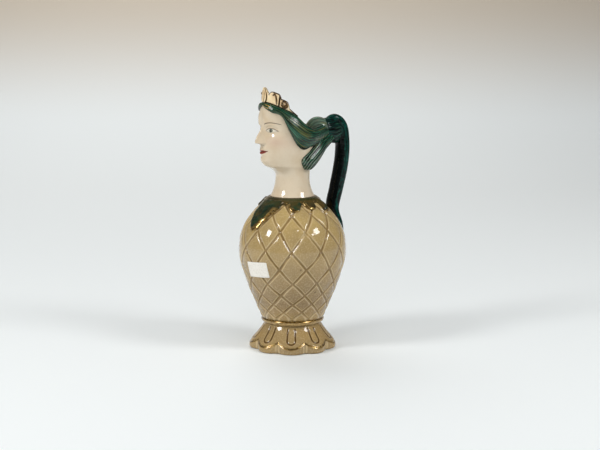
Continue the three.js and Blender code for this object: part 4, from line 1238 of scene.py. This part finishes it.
# Palmette: the pointed sprig at the front of the tiara, a leaf of cream-glazed clay pressed on, with
# brown lines painted between its ribs and round its edge.
PALMETTE_WIDTH = 11.0
PALMETTE_HEIGHT = 14.6
PALMETTE_THICKNESS = 2.0


def palmette_spot(around, along):
    outside, share = on_sheet(around, LEAF_OUTSIDE)
    across = 2 * share - 1
    outline = PALMETTE_WIDTH / 2 * (0.05 + 0.95 * sin(pi * (0.18 + 0.82 * along)) ** 0.9)
    rib = stroke(abs(across) - 0.4, 0.14) * (1 - ease(0.75, 0.95, along)) * outside
    crown = (1 - abs(across) ** 3) ** 0.5
    lift = (PALMETTE_THICKNESS * (1 - 0.4 * along) - 0.4 * rib) * crown if outside else -0.3
    azimuth = across * outline / head_oval(0, RIM_FRONT)
    lined = max(stroke(1 - abs(across), 0.25), rib)
    return on_tiara(azimuth, PALMETTE_HEIGHT * along, lift), 0.9 * lined, 0.4 * stroke(1 - abs(across), 0.25)


palmette = piece("tiara_sprig", skin(60, 50, palmette_spot, ("pool", "gilt"), close=True), tiara_glaze)
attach(palmette, "root")
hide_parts("tiara_palmette")

# Coils: thin rolls of clay laid on the tiara's face, an arch and a volute on each side, stuck on with
# slip and painted in dark lustre.
COIL_LIGHT = "#5a3f1b"


def lustre_tint(tree):
    return laid_over(tree, LINE_BROWN, (cloud(tree, 380, 0.35, 0.65), COIL_LIGHT))


def coil_spot(route):
    spots = [on_tiara(radians(degrees), height, 0.5 * COIL_RADIUS) for degrees, height in route]
    course = through([(i / (len(spots) - 1), *spot) for i, spot in enumerate(spots)])

    def spot(around, along):
        middle = Vector(course(along))
        ahead = Vector(course(min(along + 0.01, 1))) - Vector(course(max(along - 0.01, 0)))
        outward = Vector((middle.x, middle.y, 0)).normalized()
        across = ahead.cross(outward).normalized()
        angle = 2 * pi * around
        end = max(0.15, min(1.0, 12 * along, 12 * (1 - along)) ** 0.5)
        reach = COIL_RADIUS * end * (across * cos(angle) + outward * sin(angle))
        return middle + reach, 0.15 + 0.3 * noise.noise(0.6 * middle)

    return spot


def arch_route(side):
    inset = 2 * COIL_RADIUS
    rise = ARCH_HEIGHT - 2.6 * inset
    route = []
    for i in range(13):
        angle = pi * mix(0.22, 1, i / 12)
        degrees = ARCH_AZIMUTH - 2.5 - 0.55 * ARCH_HALF_SPAN * cos(angle)
        route.append((side * degrees, inset + rise * sin(angle) ** 0.6))
    return route


def volute_route(side):
    per_degree = head_oval(radians(VOLUTE_AZIMUTH), RIM_FRONT) * radians(1)
    centre = VOLUTE_RADIUS + 2 * COIL_RADIUS
    route = []
    for i in range(21):
        angle = mix(2.2, -0.85, i / 20) * pi
        radius = mix(0.3, 1, i / 20) * VOLUTE_RADIUS
        degrees = VOLUTE_AZIMUTH + radius * cos(angle) / per_degree
        route.append((side * degrees, centre + radius * sin(angle)))
    return route


lustre_glaze = glazed("lustre_glaze", lustre_tint)
for side_name, side in SIDES.items():
    for form, route in (("arch", arch_route(side)), ("volute", volute_route(side))):
        bm = skin(16, 90, coil_spot(route), ("gilt",), close=True)
        coil = piece(f"{form}_coil_{side_name}", bm, lustre_glaze)
        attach(coil, "root")
        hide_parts(f"tiara_{form}_{side_name}")


# Camera, floor and lamps: a pale paper sweep under two soft boxes, one towards the face and one
# towards the handle, as in a small studio. None of it is part of the jug.
CAMERA_AZIMUTH = radians(62)
CAMERA_DISTANCE = 1.37
CAMERA_HEIGHT = 0.34
AIM_HEIGHT = 0.1225
AIM_ASIDE = 0.0075
LENS = 83.7
SENSOR = 36.0
SWEEP_WIDTH = 9.0
SWEEP_FRONT = 3.0
SWEEP_BACK = 1.2
SWEEP_BEND = 2.2
SWEEP_TOP = 3.5
SWEEP_GAP = 0.0002
PAPER = "#f2f6f6"
# darker, warmer paper for the sweep's upper bend and wall: painted shade
PAPER_WARM_SHADE = "#cdc1b0"
ROOM_LIGHT = "#f2f5f7"
ROOM_STRENGTH = 0.15

camera = bpy.data.objects.new("camera", bpy.data.cameras.new("camera"))
bpy.context.collection.objects.link(camera)
away = Vector((sin(CAMERA_AZIMUTH), -cos(CAMERA_AZIMUTH), 0))
aside = Vector((cos(CAMERA_AZIMUTH), sin(CAMERA_AZIMUTH), 0))
camera.location = CAMERA_DISTANCE * away + Vector((0, 0, CAMERA_HEIGHT))
aim = AIM_ASIDE * aside + Vector((0, 0, AIM_HEIGHT))
camera.rotation_euler = (aim - camera.location).to_track_quat("-Z", "Y").to_euler()
camera.data.lens = LENS
camera.data.sensor_width = SENSOR
camera.data.clip_end = 50
bpy.context.scene.camera = camera


def sweep_paper():
    made, tree, shader = finish("sweep_paper")
    base = laid_over(tree, PAPER, (mark(tree, "warm"), PAPER_WARM_SHADE))
    tree.links.new(base, shader.inputs["Base Color"])
    shader.inputs["Roughness"].default_value = 0.75
    shader.inputs["Specular IOR Level"].default_value = 0.2
    return made


bm = bmesh.new()
bmesh.ops.create_grid(bm, x_segments=40, y_segments=120, size=0.5)
warm = bm.verts.layers.float.new("warm")
for vert in bm.verts:
    run = mix(-SWEEP_FRONT, SWEEP_BACK + SWEEP_TOP, vert.co.y + 0.5)
    arc = pi / 2 * SWEEP_BEND
    turned = min(max(run - SWEEP_BACK, 0.0), arc) / SWEEP_BEND
    back = min(run, SWEEP_BACK) + SWEEP_BEND * sin(turned)
    high = SWEEP_BEND * (1 - cos(turned)) + max(0.0, run - SWEEP_BACK - arc)
    # the upper bend and wall take the darker paper: painted shade towards the top
    vert[warm] = ease(0.25, 0.62, turned)
    place = aside * SWEEP_WIDTH * vert.co.x - away * back + Vector((0, 0, high - SWEEP_GAP))
    vert.co = 1000 * place
sweep = piece("paper_sweep", bm, sweep_paper())


def soft_box(name, place, target, size, watts, mirrored=True):
    lamp = bpy.data.objects.new(name, bpy.data.lights.new(name, "AREA"))
    lamp.data.shape = "RECTANGLE"
    lamp.data.size, lamp.data.size_y = size
    lamp.data.energy = watts
    lamp.location = place
    lamp.rotation_euler = (target - place).to_track_quat("-Z", "Y").to_euler()
    lamp.visible_glossy = mirrored
    bpy.context.collection.objects.link(lamp)


jug_middle = Vector((0, 0, AIM_HEIGHT))
soft_box("face_side_box", jug_middle + polar(1.44, radians(3), 0.9), jug_middle, (0.42, 0.42), 12)
soft_box("handle_side_box", jug_middle + polar(1.39, radians(125), 0.98), jug_middle, (0.5, 0.42), 10)
over_camera = jug_middle + polar(1.2, CAMERA_AZIMUTH, 1.8)
soft_box("camera_side_fill", over_camera, jug_middle, (1.6, 1.6), 14, mirrored=False)
behind = -1.8 * away - 0.4 * aside + Vector((0, 0, 1.7))
soft_box("backdrop_box", behind, -1.7 * away, (2.5, 1.5), 23, mirrored=False)

world = bpy.data.worlds.new("studio")
bpy.context.scene.world = world
world.use_nodes = True
world.node_tree.nodes["Background"].inputs["Color"].default_value = colour(ROOM_LIGHT)
world.node_tree.nodes["Background"].inputs["Strength"].default_value = ROOM_STRENGTH
bpy.context.scene.view_settings.view_transform = "Standard"
